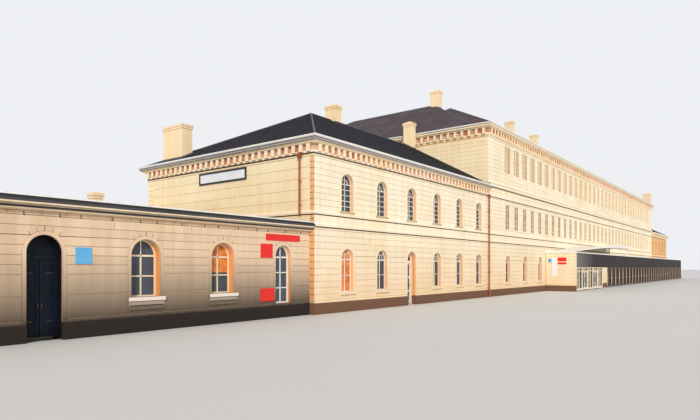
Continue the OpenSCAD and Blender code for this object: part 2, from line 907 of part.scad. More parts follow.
module at_rear_end() {
    translate([main_x, depth + rear_len, 0]) mirror([0, 1, 0]) children();
}

module rear_wing_walls() {
    clear = corona_out + gutter_w + 4 * cut;
    color(stucco) set_out() {
        for (k = [0, 1]) at_rear_side(k) {
            range_wall(rear_len - wall_t, rear_side_first, rear_side_bays);
            range_courses((1 - k) * clear, rear_len, 0, 1);
        }
        at_rear_end() {
            range_wall(rear_w, rear_end_first, rear_bays);
            range_courses(0, rear_w);
        }
    }
}

module rear_wing_cornice() {
    color(stucco) set_out() difference() {
        translate([main_x, depth, 0])
            cornice(rear_w, rear_len, true, true, main_wall_h, main_dentil_pitch,
                main_dentil_h);
        translate([main_x - 2 * corona_out, depth - 2 * corona_out, 0])
            cube([rear_w + 4 * corona_out, 2 * corona_out, main_wall_h + cut]);
    }
}

// Solid under the rear wing's roof, whose ridge runs across the building
module rear_roof_solid(z) {
    half = rear_w / 2 + corona_out;
    translate([main_x + rear_w / 2, 0, 0]) rotate([0, 0, 90])
        roof_solid(rear_roof_start, depth + rear_len + corona_out, -half, half, z, rear_rise,
            rear_hip, rear_hip);
}

module rear_wing_roof() {
    color(slate) set_out() difference() {
        rear_roof_solid(main_wall_h);
        rear_roof_solid(main_wall_h - roof_t);
        main_roof_solid(cut);
    }
}

// Pavilion at the far end, the two-storey block's mirror image

module at_pavilion() {
    translate([pavilion_x + pavilion_len, 0, 0]) mirror([1, 0, 0]) children();
}

module pavilion_front_wall() {
    color(stucco) set_out() at_pavilion() two_storey_wall(pavilion_bays);
}

module pavilion_rear_wall() {
    color(stucco) set_out() at_pavilion() translate([0, depth, 0]) mirror([0, 1, 0])
        two_storey_wall(pavilion_bays);
}

module pavilion_end_wall() {
    color(stucco) set_out() translate([pavilion_x + pavilion_len, 0, 0]) {
        translate([-wall_t, wall_t, 0]) cube([wall_t, depth - 2 * wall_t, block_wall_h]);
        rotate([0, 0, 90]) {
            plinth(0, depth, 1, 1);
            two_storey_courses(0, depth, 1, 1);
        }
    }
}

module pavilion_cornice() {
    color(stucco) set_out() at_pavilion()
        cornice(pavilion_len, depth, true, false, block_wall_h, dentil_pitch, dentil_h);
}

module pavilion_roof() {
    color(slate) set_out() at_pavilion() two_storey_roof(pavilion_len);
}

// Annexe

module at_annexe() {
    translate([annexe_x + wall_t, -annexe_out, slab_t]) children();
}

// The annexe's end walls, and the pier beside its entrance
module annexe_walls() {
    color(stucco) set_out() {
        difference() {
            for (x = [annexe_x, annexe_x + wall_t + annexe_len])
                translate([x, -annexe_out, 0]) cube([wall_t, annexe_out, annexe_eave]);
            plinth(annexe_x - cut, annexe_x + annexe_len + 2 * wall_t + cut);
        }
        at_annexe() translate([pier_bay * annexe_bay, 0, 0])
            cube([annexe_bay, post_d, annexe_glazing_h]);
    }
}

// Posts and rails of the bays from first to last; bays in the list doors stay open
module annexe_posts(first, last, doors) {
    top_z = annexe_glazing_h - annexe_toplight_h;
    half = (annexe_bay - post_w) / 2;
    upright(post_d) difference() {
        translate([first * annexe_bay, 0])
            square([(last - first + 1) * annexe_bay, annexe_glazing_h]);
        for (i = [first : last], s = [0, 1]) {
            x = i * annexe_bay + post_w / 2 + s * (half + rail_h / 4);
            open = len(search(i, doors)) > 0;
            translate([x, top_z]) square([half - rail_h / 4, annexe_toplight_h - rail_h]);
            if (!open) translate([x, foot_rail_h])
                square([half - rail_h / 4, top_z - rail_h - foot_rail_h]);
        }
        for (i = doors) translate([i * annexe_bay + post_w / 2, -cut])
            square([annexe_bay - post_w, top_z - rail_h + cut]);
    }
}

module annexe_entrance_frame() {
    color(white) set_out() at_annexe() annexe_posts(0, entrance_bays - 1, door_bays);
}

module annexe_screen() {
    color(white) set_out() at_annexe() annexe_posts(pier_bay + 1, annexe_bays - 1, []);
}

// One glazed leaf of the annexe's doors, hinged at its left edge
module annexe_leaf() {
    w = (annexe_bay - post_w - 3 * door_gap) / 2;
    h = annexe_glazing_h - annexe_toplight_h - rail_h - 2 * door_gap;
    difference() {
        cube([w, leaf_t, h]);
        for (y = [-cut, leaf_t - panel_recess])
            translate([stile_w, y, 2 * stile_w])
                cube([w - 2 * stile_w, panel_recess + cut, h - 3 * stile_w]);
    }
}

module annexe_leaf_at(bay, right) {
    color(white) set_out() at_annexe()
        translate([(bay + 0.5) * annexe_bay, (post_d - leaf_t) / 2, door_gap])
        mirror([right ? 1 : 0, 0, 0])
        translate([-(annexe_bay - post_w) / 2 + door_gap, 0, 0]) annexe_leaf();
}

module annexe_leaf_1() {
    annexe_leaf_at(door_bays[0], false);
}

module annexe_leaf_2() {
    annexe_leaf_at(door_bays[0], true);
}

module annexe_leaf_3() {
    annexe_leaf_at(door_bays[1], false);
}

module annexe_leaf_4() {
    annexe_leaf_at(door_bays[1], true);
}

module annexe_fascia() {
    color(grey) set_out() at_annexe() translate([0, 0, annexe_glazing_h])
        cube([annexe_len, fascia_t, fascia_h]);
}

// Body of the annexe's roof, which falls gently from the main block to its front edge
module annexe_roof_body() {
    out = annexe_out + annexe_roof_t;
    translate([annexe_x - annexe_roof_t, 0, 0]) rotate([90, 0, 90])
        linear_extrude(annexe_len + 2 * (wall_t + annexe_roof_t))
        polygon([[-out, annexe_eave], [0, annexe_eave],
                 [0, annexe_eave + annexe_roof_t + annexe_rise],
                 [-out, annexe_eave + annexe_roof_t]]);
}

module annexe_roof() {
    color(white) set_out() annexe_roof_body();
}

// Canopy that sweeps up from the roof's front corner, on two posts at its high end
module annexe_canopy() {
    steps = 26;
    out = annexe_out + annexe_roof_t;
    back = 1.3 * string_out;
    z0 = annexe_eave + annexe_roof_t;
    post_x = canopy_len - 2 * canopy_t;
    top = [for (i = [0 : steps]) let (u = i / steps)
        [canopy_len * u, canopy_rise * (1 - pow(1 - u, 2))]];
    under = [for (i = [steps : -1 : 1]) let (u = i / steps)
        [canopy_len * u, (canopy_rise - canopy_t) * (1 - pow(1 - u, 2)) - 0.1 * cut]];
    color(white) set_out() difference() {
        translate([annexe_x - annexe_roof_t, 0, 0]) {
            translate([0, -back, z0]) rotate([90, 0, 0]) linear_extrude(out - back)
                polygon(concat(top, under));
            for (y = [-out + canopy_t, -back - canopy_t - post_d])
                translate([post_x, y, annexe_eave])
                    cube([post_d, post_d, canopy_rise - canopy_t + annexe_roof_t + cut]);
        }
        annexe_roof_body();
    }
}

// Floors

module floor_between(x0, x1, y0, y1, z, t) {
    translate([x0, y0, z - t]) cube([x1 - x0, y1 - y0, t]);
}

// Floor inside the rear wing
module rear_wing_floor(z, t) {
    floor_between(main_x + wall_t, main_x + rear_w - wall_t, depth, depth + rear_len - wall_t,
        z, t);
}

// Floor inside the pavilion, from the main block's end wall to its own
module pavilion_floor(z, t) {
    floor_between(pavilion_x, pavilion_x + pavilion_len - wall_t, wall_t, depth - wall_t, z,
        t);
}

module ground_floor() {
    color(screed) set_out() {
        floor_between(wall_t - wing_len, 0, wing_setback + wall_t,
            wing_setback + wing_depth - wall_t, slab_t, slab_t);
        floor_between(wall_t, main_x, wall_t, depth - wall_t, slab_t, slab_t);
        floor_between(main_x + wall_t, pavilion_x - wall_t, wall_t, depth - wall_t, slab_t,
            slab_t);
        pavilion_floor(slab_t, slab_t);
        rear_wing_floor(slab_t, slab_t);
        floor_between(annexe_x + wall_t, annexe_x + wall_t + annexe_len, -annexe_out,
            -plinth_out, slab_t, slab_t);
    }
}

module upper_floors() {
    color(screed) set_out() {
        floor_between(wall_t, main_x, wall_t, depth - wall_t, first_floor_z, floor_t);
        for (z = [first_floor_z, second_floor_z]) {
            floor_between(main_x + wall_t, pavilion_x - wall_t, wall_t, depth - wall_t, z,
                floor_t);
            rear_wing_floor(z, floor_t);
        }
        pavilion_floor(first_floor_z, floor_t);
    }
}

// Glass: one sheet behind each run of windows

module sheet(x0, x1, low, high, y) {
    translate([x0 - glass_lap, y, low - glass_lap])
        cube([x1 - x0 + 2 * glass_lap, glass_t, high - low + 2 * glass_lap]);
}

// Sheets behind a storey's windows in the walls of the main block and the rear wing
module range_sheets(half, low, high) {
    last = main_x + main_arches * main_bay + half;
    side_last = rear_side_first + (rear_side_bays - 1) * main_bay + half;
    sheet(main_x + main_bay - half, last, low, high, wall_t);
    sheet(main_x + (rear_bays + 1) * main_bay - half, last, low, high,
        depth - wall_t - glass_t);
    for (k = [0, 1]) at_rear_side(k)
        sheet(rear_side_first - half, side_last, low, high, wall_t);
    at_rear_end()
        sheet(rear_end_first - half, rear_w - rear_end_first + half, low, high, wall_t);
}

module ground_glass() {
    half = arch_w / 2;
    wing_half = wing_window_w / 2;
    wing_rear_y = wing_setback + wing_depth - wall_t - glass_t;
    rear_y = depth - wall_t - glass_t;
    wing_y = wing_setback + wall_t;
    color(pane) set_out() {
        sheet(wing_axis(wing_bays - 1) - wing_half, wing_axis(portal_bay + 1) + wing_half,
            wing_sill, wing_crown, wing_y);
        sheet(wing_axis(portal_bay - 1) - wing_half, wing_axis(0) + tall_window_w / 2,
            plinth_h, wing_crown, wing_y);
        sheet(wing_axis(wing_bays - 1) - wing_half, wing_axis(0) + wing_half,
            wing_sill, wing_crown, wing_rear_y);
        sheet(block_axis(0) - half, block_axis(door_bay - 1) + half, ground_sill,
            ground_crown, wall_t);
        sheet(block_axis(door_bay + 1) - half, block_axis(block_bays - 1) + half,
            ground_sill, ground_crown, wall_t);
        sheet(block_axis(0) - half, block_axis(block_bays - 1) + half, ground_sill,
            ground_crown, rear_y);
        range_sheets(half, ground_sill, ground_crown);
        for (y = [wall_t, rear_y])
            sheet(pavilion_x + block_last - half, pavilion_x + pavilion_len - block_first + half,
                ground_sill, ground_crown, y);
        at_annexe() {
            for (i = [0 : entrance_bays - 1]) if (len(search(i, door_bays)) == 0)
                translate([i * annexe_bay + post_w / 2, post_d, foot_rail_h / 2])
                    cube([annexe_bay - post_w, glass_t, annexe_glazing_h - foot_rail_h]);
            translate([(pier_bay + 1) * annexe_bay + post_w / 2, post_d, foot_rail_h / 2])
                cube([(annexe_bays - pier_bay - 1) * annexe_bay - post_w, glass_t,
                      annexe_glazing_h - foot_rail_h]);
        }
    }
}

module first_floor_glass() {
    half = arch_w / 2;
    rear_y = depth - wall_t - glass_t;
    color(pane) set_out() {
        range_sheets(first_w / 2, first_sill, first_sill + first_h);
        for (y = [wall_t, rear_y])
            sheet(block_axis(0) - half, block_axis(block_bays - 1) + half, upper_sill,
                upper_crown, y);
        for (y = [wall_t, rear_y])
            sheet(pavilion_x + block_last - half, pavilion_x + pavilion_len - block_first + half,
                upper_sill, upper_crown, y);
    }
}

module second_floor_glass() {
    color(pane) set_out()
        range_sheets(narrow_w + narrow_pier / 2, second_sill, second_sill + second_h);
}

// Chimneys, gutters and downpipes

// A low pyramid with a blunt top on a base of w by d, its foot at height z
module peaked(w, d, z, h) {
    intersection() {
        translate([-w / 2, 0, z]) rotate([90, 0, 90]) linear_extrude(w)
            polygon([[-d / 2, 0], [d / 2, 0], [d / 10, h], [-d / 10, h]]);
        translate([0, d / 2, z]) rotate([90, 0, 0]) linear_extrude(d)
            polygon([[-w / 2, 0], [w / 2, 0], [w / 10, h], [-w / 10, h]]);
    }
}

// A chimney from height low to height high, with a cap on a neck, centred on a place
module chimney(x, y, w, d, low, high, peak) {
    neck = chimney_cap / 2;
    translate([x - w / 2, y - d / 2, low]) cube([w, d, high - low]);
    translate([x - w / 2 - neck, y - d / 2 - neck, high - 2 * chimney_cap_h])
        cube([w + 2 * neck, d + 2 * neck, 2 * chimney_cap_h]);
    translate([x - w / 2 - chimney_cap, y - d / 2 - chimney_cap, high - chimney_cap_h])
        cube([w + 2 * chimney_cap, d + 2 * chimney_cap, chimney_cap_h]);
    if (peak > 0) translate([x, y, 0])
        peaked(w + 2 * chimney_cap, d + 2 * chimney_cap, high, peak);
}

module chimneys() {
    mid = depth / 2;
    block_ridge = block_wall_h + block_rise;
    main_top = main_wall_h + main_rise + main_chimney_rise;
    wing_top = wing_wall_h + wing_fascia_h;
    color(stucco) set_out() {
        difference() {
            union() {
                chimney(stack_from_end, depth - stack_from_rear, stack_w, stack_d,
                    block_wall_h, block_wall_h + stack_rise, 0);
                chimney(ridge_chimney_from_end, mid, chimney_w, chimney_d, block_wall_h,
                    block_ridge + ridge_chimney_rise, chimney_peak);
                chimney(block_len - junction_chimney_off, mid - junction_chimney_front,
                    0.9 * chimney_w, 0.9 * chimney_d, block_wall_h,
                    block_ridge + junction_chimney_rise, chimney_peak);
            }
            roof_solid(-corona_out, block_len + cut, -corona_out, depth + corona_out,
                block_wall_h, block_rise, block_hip, 0);
        }
        difference() {
            union() {
                chimney(main_x + main_chimney_1, mid + main_chimney_back, chimney_w,
                    chimney_d, main_wall_h, main_top, chimney_peak);
                for (x = [main_chimney_2, main_chimney_3])
                    chimney(main_x + x, mid, chimney_w, chimney_d, main_wall_h, main_top,
                        chimney_peak);
                chimney(pavilion_x - end_chimney_off, end_chimney_back, end_chimney_w,
                    end_chimney_d, main_wall_h, main_wall_h + end_chimney_rise,
                    chimney_peak);
            }
            main_roof_solid();
            rear_roof_solid(main_wall_h);
        }
        difference() {
            chimney(-wing_chimney_off, wing_setback + wing_depth - wing_chimney_back,
                wing_chimney_w, wing_chimney_w, wing_wall_h, wing_top + wing_chimney_rise,
                chimney_peak / 2);
            roof_solid(-wing_len - wing_eave, cut, wing_setback - wing_eave,
                wing_setback + wing_depth + wing_eave, wing_top, wing_rise, wing_depth / 2, 0);
            translate([-wing_len, 0, 0]) cube([wing_len, 2 * wing_depth, wing_top]);
        }
    }
}

// Gutter along the edge of a roof, outside the cornice
module gutter(len, wid, left, right, z) {
    l = left ? 1 : 0;
    r = right ? 1 : 0;
    out = corona_out + gutter_w;
    translate([0, 0, z - 0.5 * gutter_w]) linear_extrude(gutter_w) difference() {
        translate([-l * out, -out]) square([len + (l + r) * out, wid + 2 * out]);
        translate([-l * corona_out, -corona_out])
            square([len + (l + r) * corona_out, wid + 2 * corona_out]);
    }
}

// Outline of the main block with the rear wing, grown by an amount
module main_plan(out) {
    translate([main_x - out, -out]) square([main_len + 2 * out, depth + 2 * out]);
    translate([main_x - out, depth - out]) square([rear_w + 2 * out, rear_len + 2 * out]);
}

module gutters() {
    color(white) set_out() {
        gutter(block_len, depth, true, false, block_wall_h);
        translate([0, 0, main_wall_h - 0.5 * gutter_w]) linear_extrude(gutter_w)
            difference() {
                main_plan(corona_out + gutter_w);
                main_plan(corona_out);
            }
        at_pavilion() gutter(pavilion_len, depth, true, false, block_wall_h);
    }
}

module downpipe(x, y, low, high) {
    translate([x, y, low]) cylinder(r = pipe_r, h = high - low, $fn = 24);
}

module downpipes() {
    pipe_top = block_wall_h - 1.5 * corona_h - dentil_h;
    roof_top = wing_wall_h + wing_fascia_h + wing_rise;
    color(brown) set_out() {
        downpipe(block_len - front_pipe_off, -string_out - pipe_r - pipe_gap, 0, pipe_top);
        downpipe(-string_out - pipe_r - pipe_gap, end_pipe_back, roof_top, pipe_top);
    }
}

wing_front_wall_left();
wing_front_wall_right();
wing_wall_over_portal();
wing_rear_wall();
wing_end_wall();
wing_roof();
wing_cornice();
portal_frame();
portal_leaf_left();
portal_leaf_right();
block_front_wall_left();
block_front_wall_right();
block_wall_over_door();
block_end_wall();
block_rear_wall();
block_cornice();
block_roof();
block_door_frame();
block_door();
main_front_wall();
main_rear_wall();
main_end_walls();
main_cornice();
main_roof();
pavilion_front_wall();
pavilion_rear_wall();
pavilion_end_wall();
pavilion_cornice();
pavilion_roof();
rear_wing_walls();
rear_wing_cornice();
rear_wing_roof();
annexe_walls();
annexe_entrance_frame();
annexe_screen();
annexe_leaf_1();
annexe_leaf_2();
annexe_leaf_3();
annexe_leaf_4();
annexe_fascia();
annexe_roof();
annexe_canopy();
ground_floor();
upper_floors();
ground_glass();
first_floor_glass();
second_floor_glass();
chimneys();
gutters();
downpipes();
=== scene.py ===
# %% [markdown]
# # A railway station, dressed in Blender
# The real building is brick under painted stucco that is grooved to look like large blocks of
# stone, with slate roofs, timber windows and a glazed annexe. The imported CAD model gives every
# wall, roof and door its size and place. This lesson gives them surfaces and fine detail.
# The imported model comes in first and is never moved, so each new piece only has to be drawn at
# the place that the CAD says.

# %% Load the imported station
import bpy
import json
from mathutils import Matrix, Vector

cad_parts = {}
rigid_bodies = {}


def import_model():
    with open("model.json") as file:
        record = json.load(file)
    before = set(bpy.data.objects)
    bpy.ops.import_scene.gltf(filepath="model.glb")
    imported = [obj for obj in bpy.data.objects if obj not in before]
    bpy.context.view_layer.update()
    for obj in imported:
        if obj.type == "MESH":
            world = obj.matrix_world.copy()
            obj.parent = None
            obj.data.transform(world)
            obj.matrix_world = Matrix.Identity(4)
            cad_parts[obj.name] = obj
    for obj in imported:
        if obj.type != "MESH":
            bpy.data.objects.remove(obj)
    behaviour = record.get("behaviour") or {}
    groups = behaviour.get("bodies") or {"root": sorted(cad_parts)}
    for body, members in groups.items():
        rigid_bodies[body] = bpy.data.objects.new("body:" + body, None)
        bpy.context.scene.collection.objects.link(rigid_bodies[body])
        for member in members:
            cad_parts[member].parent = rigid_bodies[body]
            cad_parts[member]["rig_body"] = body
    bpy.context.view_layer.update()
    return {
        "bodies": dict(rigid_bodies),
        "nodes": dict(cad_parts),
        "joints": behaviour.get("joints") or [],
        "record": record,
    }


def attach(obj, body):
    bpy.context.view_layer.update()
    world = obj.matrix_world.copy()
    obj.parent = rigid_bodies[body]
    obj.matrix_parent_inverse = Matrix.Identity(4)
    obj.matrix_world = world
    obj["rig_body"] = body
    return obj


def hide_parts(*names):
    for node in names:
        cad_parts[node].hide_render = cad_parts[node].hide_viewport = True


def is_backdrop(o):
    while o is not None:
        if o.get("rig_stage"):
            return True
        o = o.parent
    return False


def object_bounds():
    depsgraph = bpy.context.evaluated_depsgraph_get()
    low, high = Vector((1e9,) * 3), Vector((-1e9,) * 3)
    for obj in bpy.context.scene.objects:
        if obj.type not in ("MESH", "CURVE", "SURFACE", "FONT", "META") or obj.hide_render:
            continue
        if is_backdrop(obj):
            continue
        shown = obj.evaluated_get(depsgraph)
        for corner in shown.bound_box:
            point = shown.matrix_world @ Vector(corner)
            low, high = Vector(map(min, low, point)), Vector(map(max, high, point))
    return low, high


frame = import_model()
nodes = frame["nodes"]

# %% [markdown]
# Drawings of a building measure from one corner. Here that is the front left corner of the
# two-storey block, in millimetres of the 1:10 model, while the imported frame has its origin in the
# middle of that block and counts in metres. One small function turns the first into the second,
# so the sizes below can be read against a drawing.

# %% Sizes along the front
import json
import math
import random

import bmesh
import bpy
from mathutils import Vector

MM = 0.001
ORIGIN_X, ORIGIN_Y = 1076, 743
DEPTH, BAY, EAVE_OUT = 1486, 420, 38
WING_LEFT, WING_FRONT, WING_REAR = -2219, 33, 1033
MAIN_LEFT, MAIN_RIGHT, STATION_RIGHT = 2152, 9712, 11526
REAR_RIGHT, REAR_END = 3706, 2752
BLOCK_TOP, MAIN_TOP = 905, 1418
ANNEXE_LEFT, ANNEXE_RIGHT, ANNEXE_FRONT = 3572, 11442, -294

wing_axes = [-192 - 367 * i for i in range(6)]
block_axes = [275 + 338 * i for i in range(6)]
main_axes = [MAIN_LEFT + BAY * i for i in range(1, 18)]
pavilion_axes = [STATION_RIGHT - 275 - 338 * i for i in range(5)]
rear_side_axes = [DEPTH + 423 + BAY * i for i in range(2)]
rear_end_axes = [MAIN_LEFT + 357 + BAY * i for i in range(3)]
PORTAL_X, DOOR_X = wing_axes[3], block_axes[2]


def halves(arches):
    """Places of the upper windows: over each arch and half way between two."""
    return [arches[0] + BAY // 2 * i for i in range(2 * len(arches) - 1)]


def pairs(axes):
    """Places of the narrow windows that stand in pairs."""
    return [x + side * 42.5 for x in axes for side in (-1, 1)]


def site(x, y, z=0.0):
    """A point of the drawing, in millimetres, as metres in the frame."""
    return Vector((x - ORIGIN_X, y - ORIGIN_Y, z)) * MM


print(f"{len(main_axes)} arches, {len(halves(main_axes))} first-floor windows along the front")

# %% [markdown]
# Blender's node trees for materials and for geometry are built the same way: add a node, set what
# it does, and link its inputs. One function does all three, for both kinds of tree. Colours are
# written as the hex values that a colour picker shows and are turned to linear light once.

# %% A node with its settings and links
def add(tree, kind, links=None, **settings):
    node = tree.nodes.new(kind)
    for name, value in settings.items():
        setattr(node, name, value)
    for socket, source in (links or {}).items():
        if isinstance(source, bpy.types.NodeSocket):
            tree.links.new(source, node.inputs[socket])
        else:
            node.inputs[socket].default_value = source
    return node


def colour(text):
    """Linear red, green, blue and alpha of an sRGB hex value."""
    parts = [int(text[i:i + 2], 16) / 255 for i in (1, 3, 5)]
    return [c / 12.92 if c < 0.04045 else ((c + 0.055) / 1.055) ** 2.4 for c in parts] + [1.0]


def new_material(name, **settings):
    """A material with a Principled shader whose own sockets hold the plain values."""
    material = bpy.data.materials.new(name)
    material.use_nodes = True
    tree = material.node_tree
    shader = tree.nodes["Principled BSDF"]
    for socket, value in settings.items():
        shader.inputs[socket.replace("_", " ")].default_value = value
    return material, tree, shader


print("a mid grey in linear light:", [round(part, 3) for part in colour("#808080")])

# %% [markdown]
# ## Stucco
# Painted stucco is lime render with a coat of pale paint: matt, slightly grainy, a little uneven
# in colour and warmer towards the ground. Painted light and shade go over it: warmer jambs where
# the low sun strikes, gaps round the dentils that are partly painted shade, a wing that darkens
# towards the ground as painted shade, and paler ledges, a painted highlight where the light
# catches them. One colour can't show that, so it is built up as a painter would, in layers. Each
# layer is a colour and the tests that say where it lies, and the tests multiply to its share.

# %% Layers of paint
def layered(tree, coat, layers):
    """Colours over a coat; a test is a share from 0 to 1, or a value, a middle and a reach."""
    for paint, tests in layers:
        share = 1.0
        for test in tests:
            if isinstance(test, tuple):
                test = add(tree, "ShaderNodeMath", dict(enumerate(test)),
                           operation="COMPARE").outputs[0]
            share = add(tree, "ShaderNodeMath", {0: share, 1: test},
                        operation="MULTIPLY").outputs[0]
        coat = add(tree, "ShaderNodeMix", {0: share, 6: coat, 7: paint},
                   data_type="RGBA").outputs[2]
    return coat


def between(value, low, high):
    """The test that a value lies between two others."""
    return value, (low + high) / 2, (high - low) / 2


print("between 0 and 5 as a value, a middle and a reach:", between(2.0, 0.0, 5.0))

# %% [markdown]
# Some layers lie on one plane only. The joints between the blocks show the wall's own face, which
# is deeper than the blocks, so a brown layer on that plane draws the joints. The wing's sills and
# the ledge of its plinth have tones of their own. A wall here is the axis that it stands across,
# its place on the drawing and the side that it faces.

# %% Planes with a paint of their own
TALL_WALLS = (("Y", 0, -1), ("Y", DEPTH, 1), ("Y", REAR_END, 1), ("X", 0, -1),
              ("X", MAIN_LEFT, -1), ("X", REAR_RIGHT, 1), ("X", MAIN_RIGHT, 1),
              ("X", STATION_RIGHT, 1))
ANNEXE_WALLS = (("X", ANNEXE_LEFT, -1), ("X", ANNEXE_RIGHT, 1))
WING_WALLS = (("Y", WING_FRONT, -1), ("Y", WING_REAR, 1), ("X", WING_LEFT, -1))


def faces(walls, out=0):
    """Each wall's face, moved outwards: its axis and its place in the frame, in metres."""
    origin = {"X": ORIGIN_X, "Y": ORIGIN_Y}
    return [(axis, (place + side * out - origin[axis]) * MM) for axis, place, side in walls]


def wall_planes(paint):
    return [(*face, 0.0, 1.5, paint) for face in faces(TALL_WALLS + ANNEXE_WALLS)]


wing_planes = [(*face, low, high, paint) for walls, out, low, high, paint in (
    (WING_WALLS, 0, 0.0, 0.44, "#A08A75"), (WING_WALLS, 8, 0.060, 0.069, "#B3A597"),
    (WING_WALLS[:2], 12, 0.115, 0.131, "#E9DFD3"), (WING_WALLS[:2], 7, 0.098, 0.117, "#A8988B"))
    for face in faces(walls, out)]
print(len(wall_planes("")), "planes on the tall walls,", len(wing_planes), "on the wing")

# %% [markdown]
# The roughness of stucco is about 0.9, and its grain is about 1 mm here, coarser than the real
# grain so that it shows. Everything reads Object coordinates, so the pattern stays fixed to the
# walls. The jambs that face the low sun are warmer, which is painted sunlight, strongest deeper in
# the reveal. The cornices are terracotta between and beside their dentils, patchy, and pale on the
# dentils' own faces; that terracotta is partly paint and partly painted shade.

# %% Stucco
PLINTH_Z = 0.058
TERRACOTTA_AND_SHADE = "#B5603A"
DENTIL_OUT, DENTIL_HEIGHTS = 21, ((0.841, 0.873), (1.348, 1.384))
ON_FACE, ON_DENTIL = 0.0003, 0.0006


def stucco(name, light, dark, jamb=None, foot=("#E8BC8A", 0.50, 0.55), low="#735541",
           planes=(), dentils=False):
    """Painted stucco. jamb is the colour of the painted sunlight on the jambs, the wall's face and
    the least X that it is laid at, and foot is a colour that sets in below a height, by an amount."""
    material, tree, shader = new_material(name, Roughness=0.9, Specular_IOR_Level=0.25)
    place = add(tree, "ShaderNodeTexCoord").outputs["Object"]
    axes = add(tree, "ShaderNodeSeparateXYZ", {0: place}).outputs
    normal = add(tree, "ShaderNodeSeparateXYZ", {
        0: add(tree, "ShaderNodeNewGeometry").outputs["Normal"]}).outputs
    patches = add(tree, "ShaderNodeTexNoise", {"Vector": place, "Scale": 2.5, "Detail": 4.0})
    stretched = add(tree, "ShaderNodeMapping", {"Vector": place, "Scale": (30, 30, 2)})
    streaks = add(tree, "ShaderNodeTexNoise", {"Vector": stretched.outputs[0], "Scale": 1.0})
    uneven = add(tree, "ShaderNodeMath", {0: patches.outputs["Fac"], 1: streaks.outputs["Fac"]},
                 operation="MULTIPLY").outputs[0]
    spread = add(tree, "ShaderNodeMapRange", {"Value": uneven, "From Min": 0.12,
                                              "From Max": 0.42}).outputs[0]
    rising = add(tree, "ShaderNodeMapRange", {"Value": axes["Z"], "From Min": foot[1],
                                              "From Max": 0.05, "To Max": foot[2]}).outputs[0]
    layers = [(colour(dark), [spread]), (colour(foot[0]), [rising])]
    # Painted sunlight: the right-hand jambs, which face the low sun, are warmer.
    if jamb:
        paint, face, least = jamb
        sideways = add(tree, "ShaderNodeMath", {0: normal["X"], 1: -0.7},
                       operation="LESS_THAN").outputs[0]
        inward = add(tree, "ShaderNodeMapRange", {
            "Value": axes["Y"], "From Min": face, "From Max": face + 0.016,
            "To Min": 0.15}).outputs[0]
        inside = add(tree, "ShaderNodeMath", {0: axes["X"], 1: least},
                     operation="GREATER_THAN").outputs[0]
        reveal = between(axes["Y"], face + 0.001, face + 0.058)
        layers.append((colour(paint), [sideways, inward, reveal, inside]))
    layers += [(colour(paint), [(axes[axis], value, ON_FACE), between(axes["Z"], z0, z1)])
               for axis, value, z0, z1, paint in planes]
    coat = layered(tree, colour(light), layers)
    # Gaps and sides of the dentils are terracotta, partly paint and partly painted shade, patchy.
    if dentils:
        gap_noise = add(tree, "ShaderNodeTexNoise", {"Vector": place, "Scale": 22.0, "Detail": 2.0})
        patchy_gap_shade = add(tree, "ShaderNodeMapRange", {
            "Value": gap_noise.outputs["Fac"], "From Min": 0.32, "From Max": 0.62,
            "To Min": 0.95, "To Max": 0.45}).outputs[0]
        upright = normal["Z"], 0.0, 0.5
        coat = layered(tree, coat, [
            *[(colour(TERRACOTTA_AND_SHADE), [between(axes["Z"], z0, z1), upright, patchy_gap_shade])
              for z0, z1 in DENTIL_HEIGHTS],
            *[(coat, [(axes[axis], value, ON_DENTIL)])
              for axis, value in faces(TALL_WALLS, DENTIL_OUT)]])
    below = add(tree, "ShaderNodeMath", {0: axes["Z"], 1: PLINTH_Z},
                operation="LESS_THAN").outputs[0]
    coat = layered(tree, coat, [(colour(low), [below])])
    tone = add(tree, "ShaderNodeAttribute", attribute_name="tone").outputs["Fac"]
    value = add(tree, "ShaderNodeMapRange", {"Value": tone, "From Min": -1.0, "To Min": 0.96,
                                             "To Max": 1.03}).outputs[0]
    coat = add(tree, "ShaderNodeHueSaturation", {"Value": value, "Color": coat}).outputs[0]
    grain = add(tree, "ShaderNodeTexNoise", {"Vector": place, "Scale": 700.0, "Detail": 2.0})
    bump = add(tree, "ShaderNodeBump", {"Strength": 0.25, "Distance": 0.0006,
                                        "Height": grain.outputs["Fac"]})
    tree.links.new(coat, shader.inputs["Base Color"])
    tree.links.new(bump.outputs[0], shader.inputs["Normal"])
    return material


# %% The station's stuccos
CREAM_FOOT = ("#F2E0BC", 0.1, 0.0)
front_stucco = stucco("painted_stucco", "#FBF2DB", "#F3E1BD", ("#E8A062", -0.743, -1.05),
                      planes=wall_planes("#C9AE82"))
# The far pavilion's copy is darker and more orange: painted shade.
pavilion_stucco = stucco("painted_stucco_far_end", "#EDC590", "#DDA870", ("#D08A50", -0.743, 8.66),
                         planes=wall_planes("#C09058"))
# The end walls' copy is warmer, more so lower down: painted warm sunlight.
end_stucco = stucco("painted_stucco_end", "#FDEFCB", "#F8DFB2", foot=("#F3C288", 0.85, 0.75),
                    planes=wall_planes("#D5A568"))
# The corner strip's copy is orange-brown: painted shade on the side of the corner.
quoin_stucco = stucco("painted_stucco_corner", "#EFBE88", "#DFA06A", foot=("#C98A58", 0.9, 0.6),
                      planes=wall_planes("#8F5C38"))
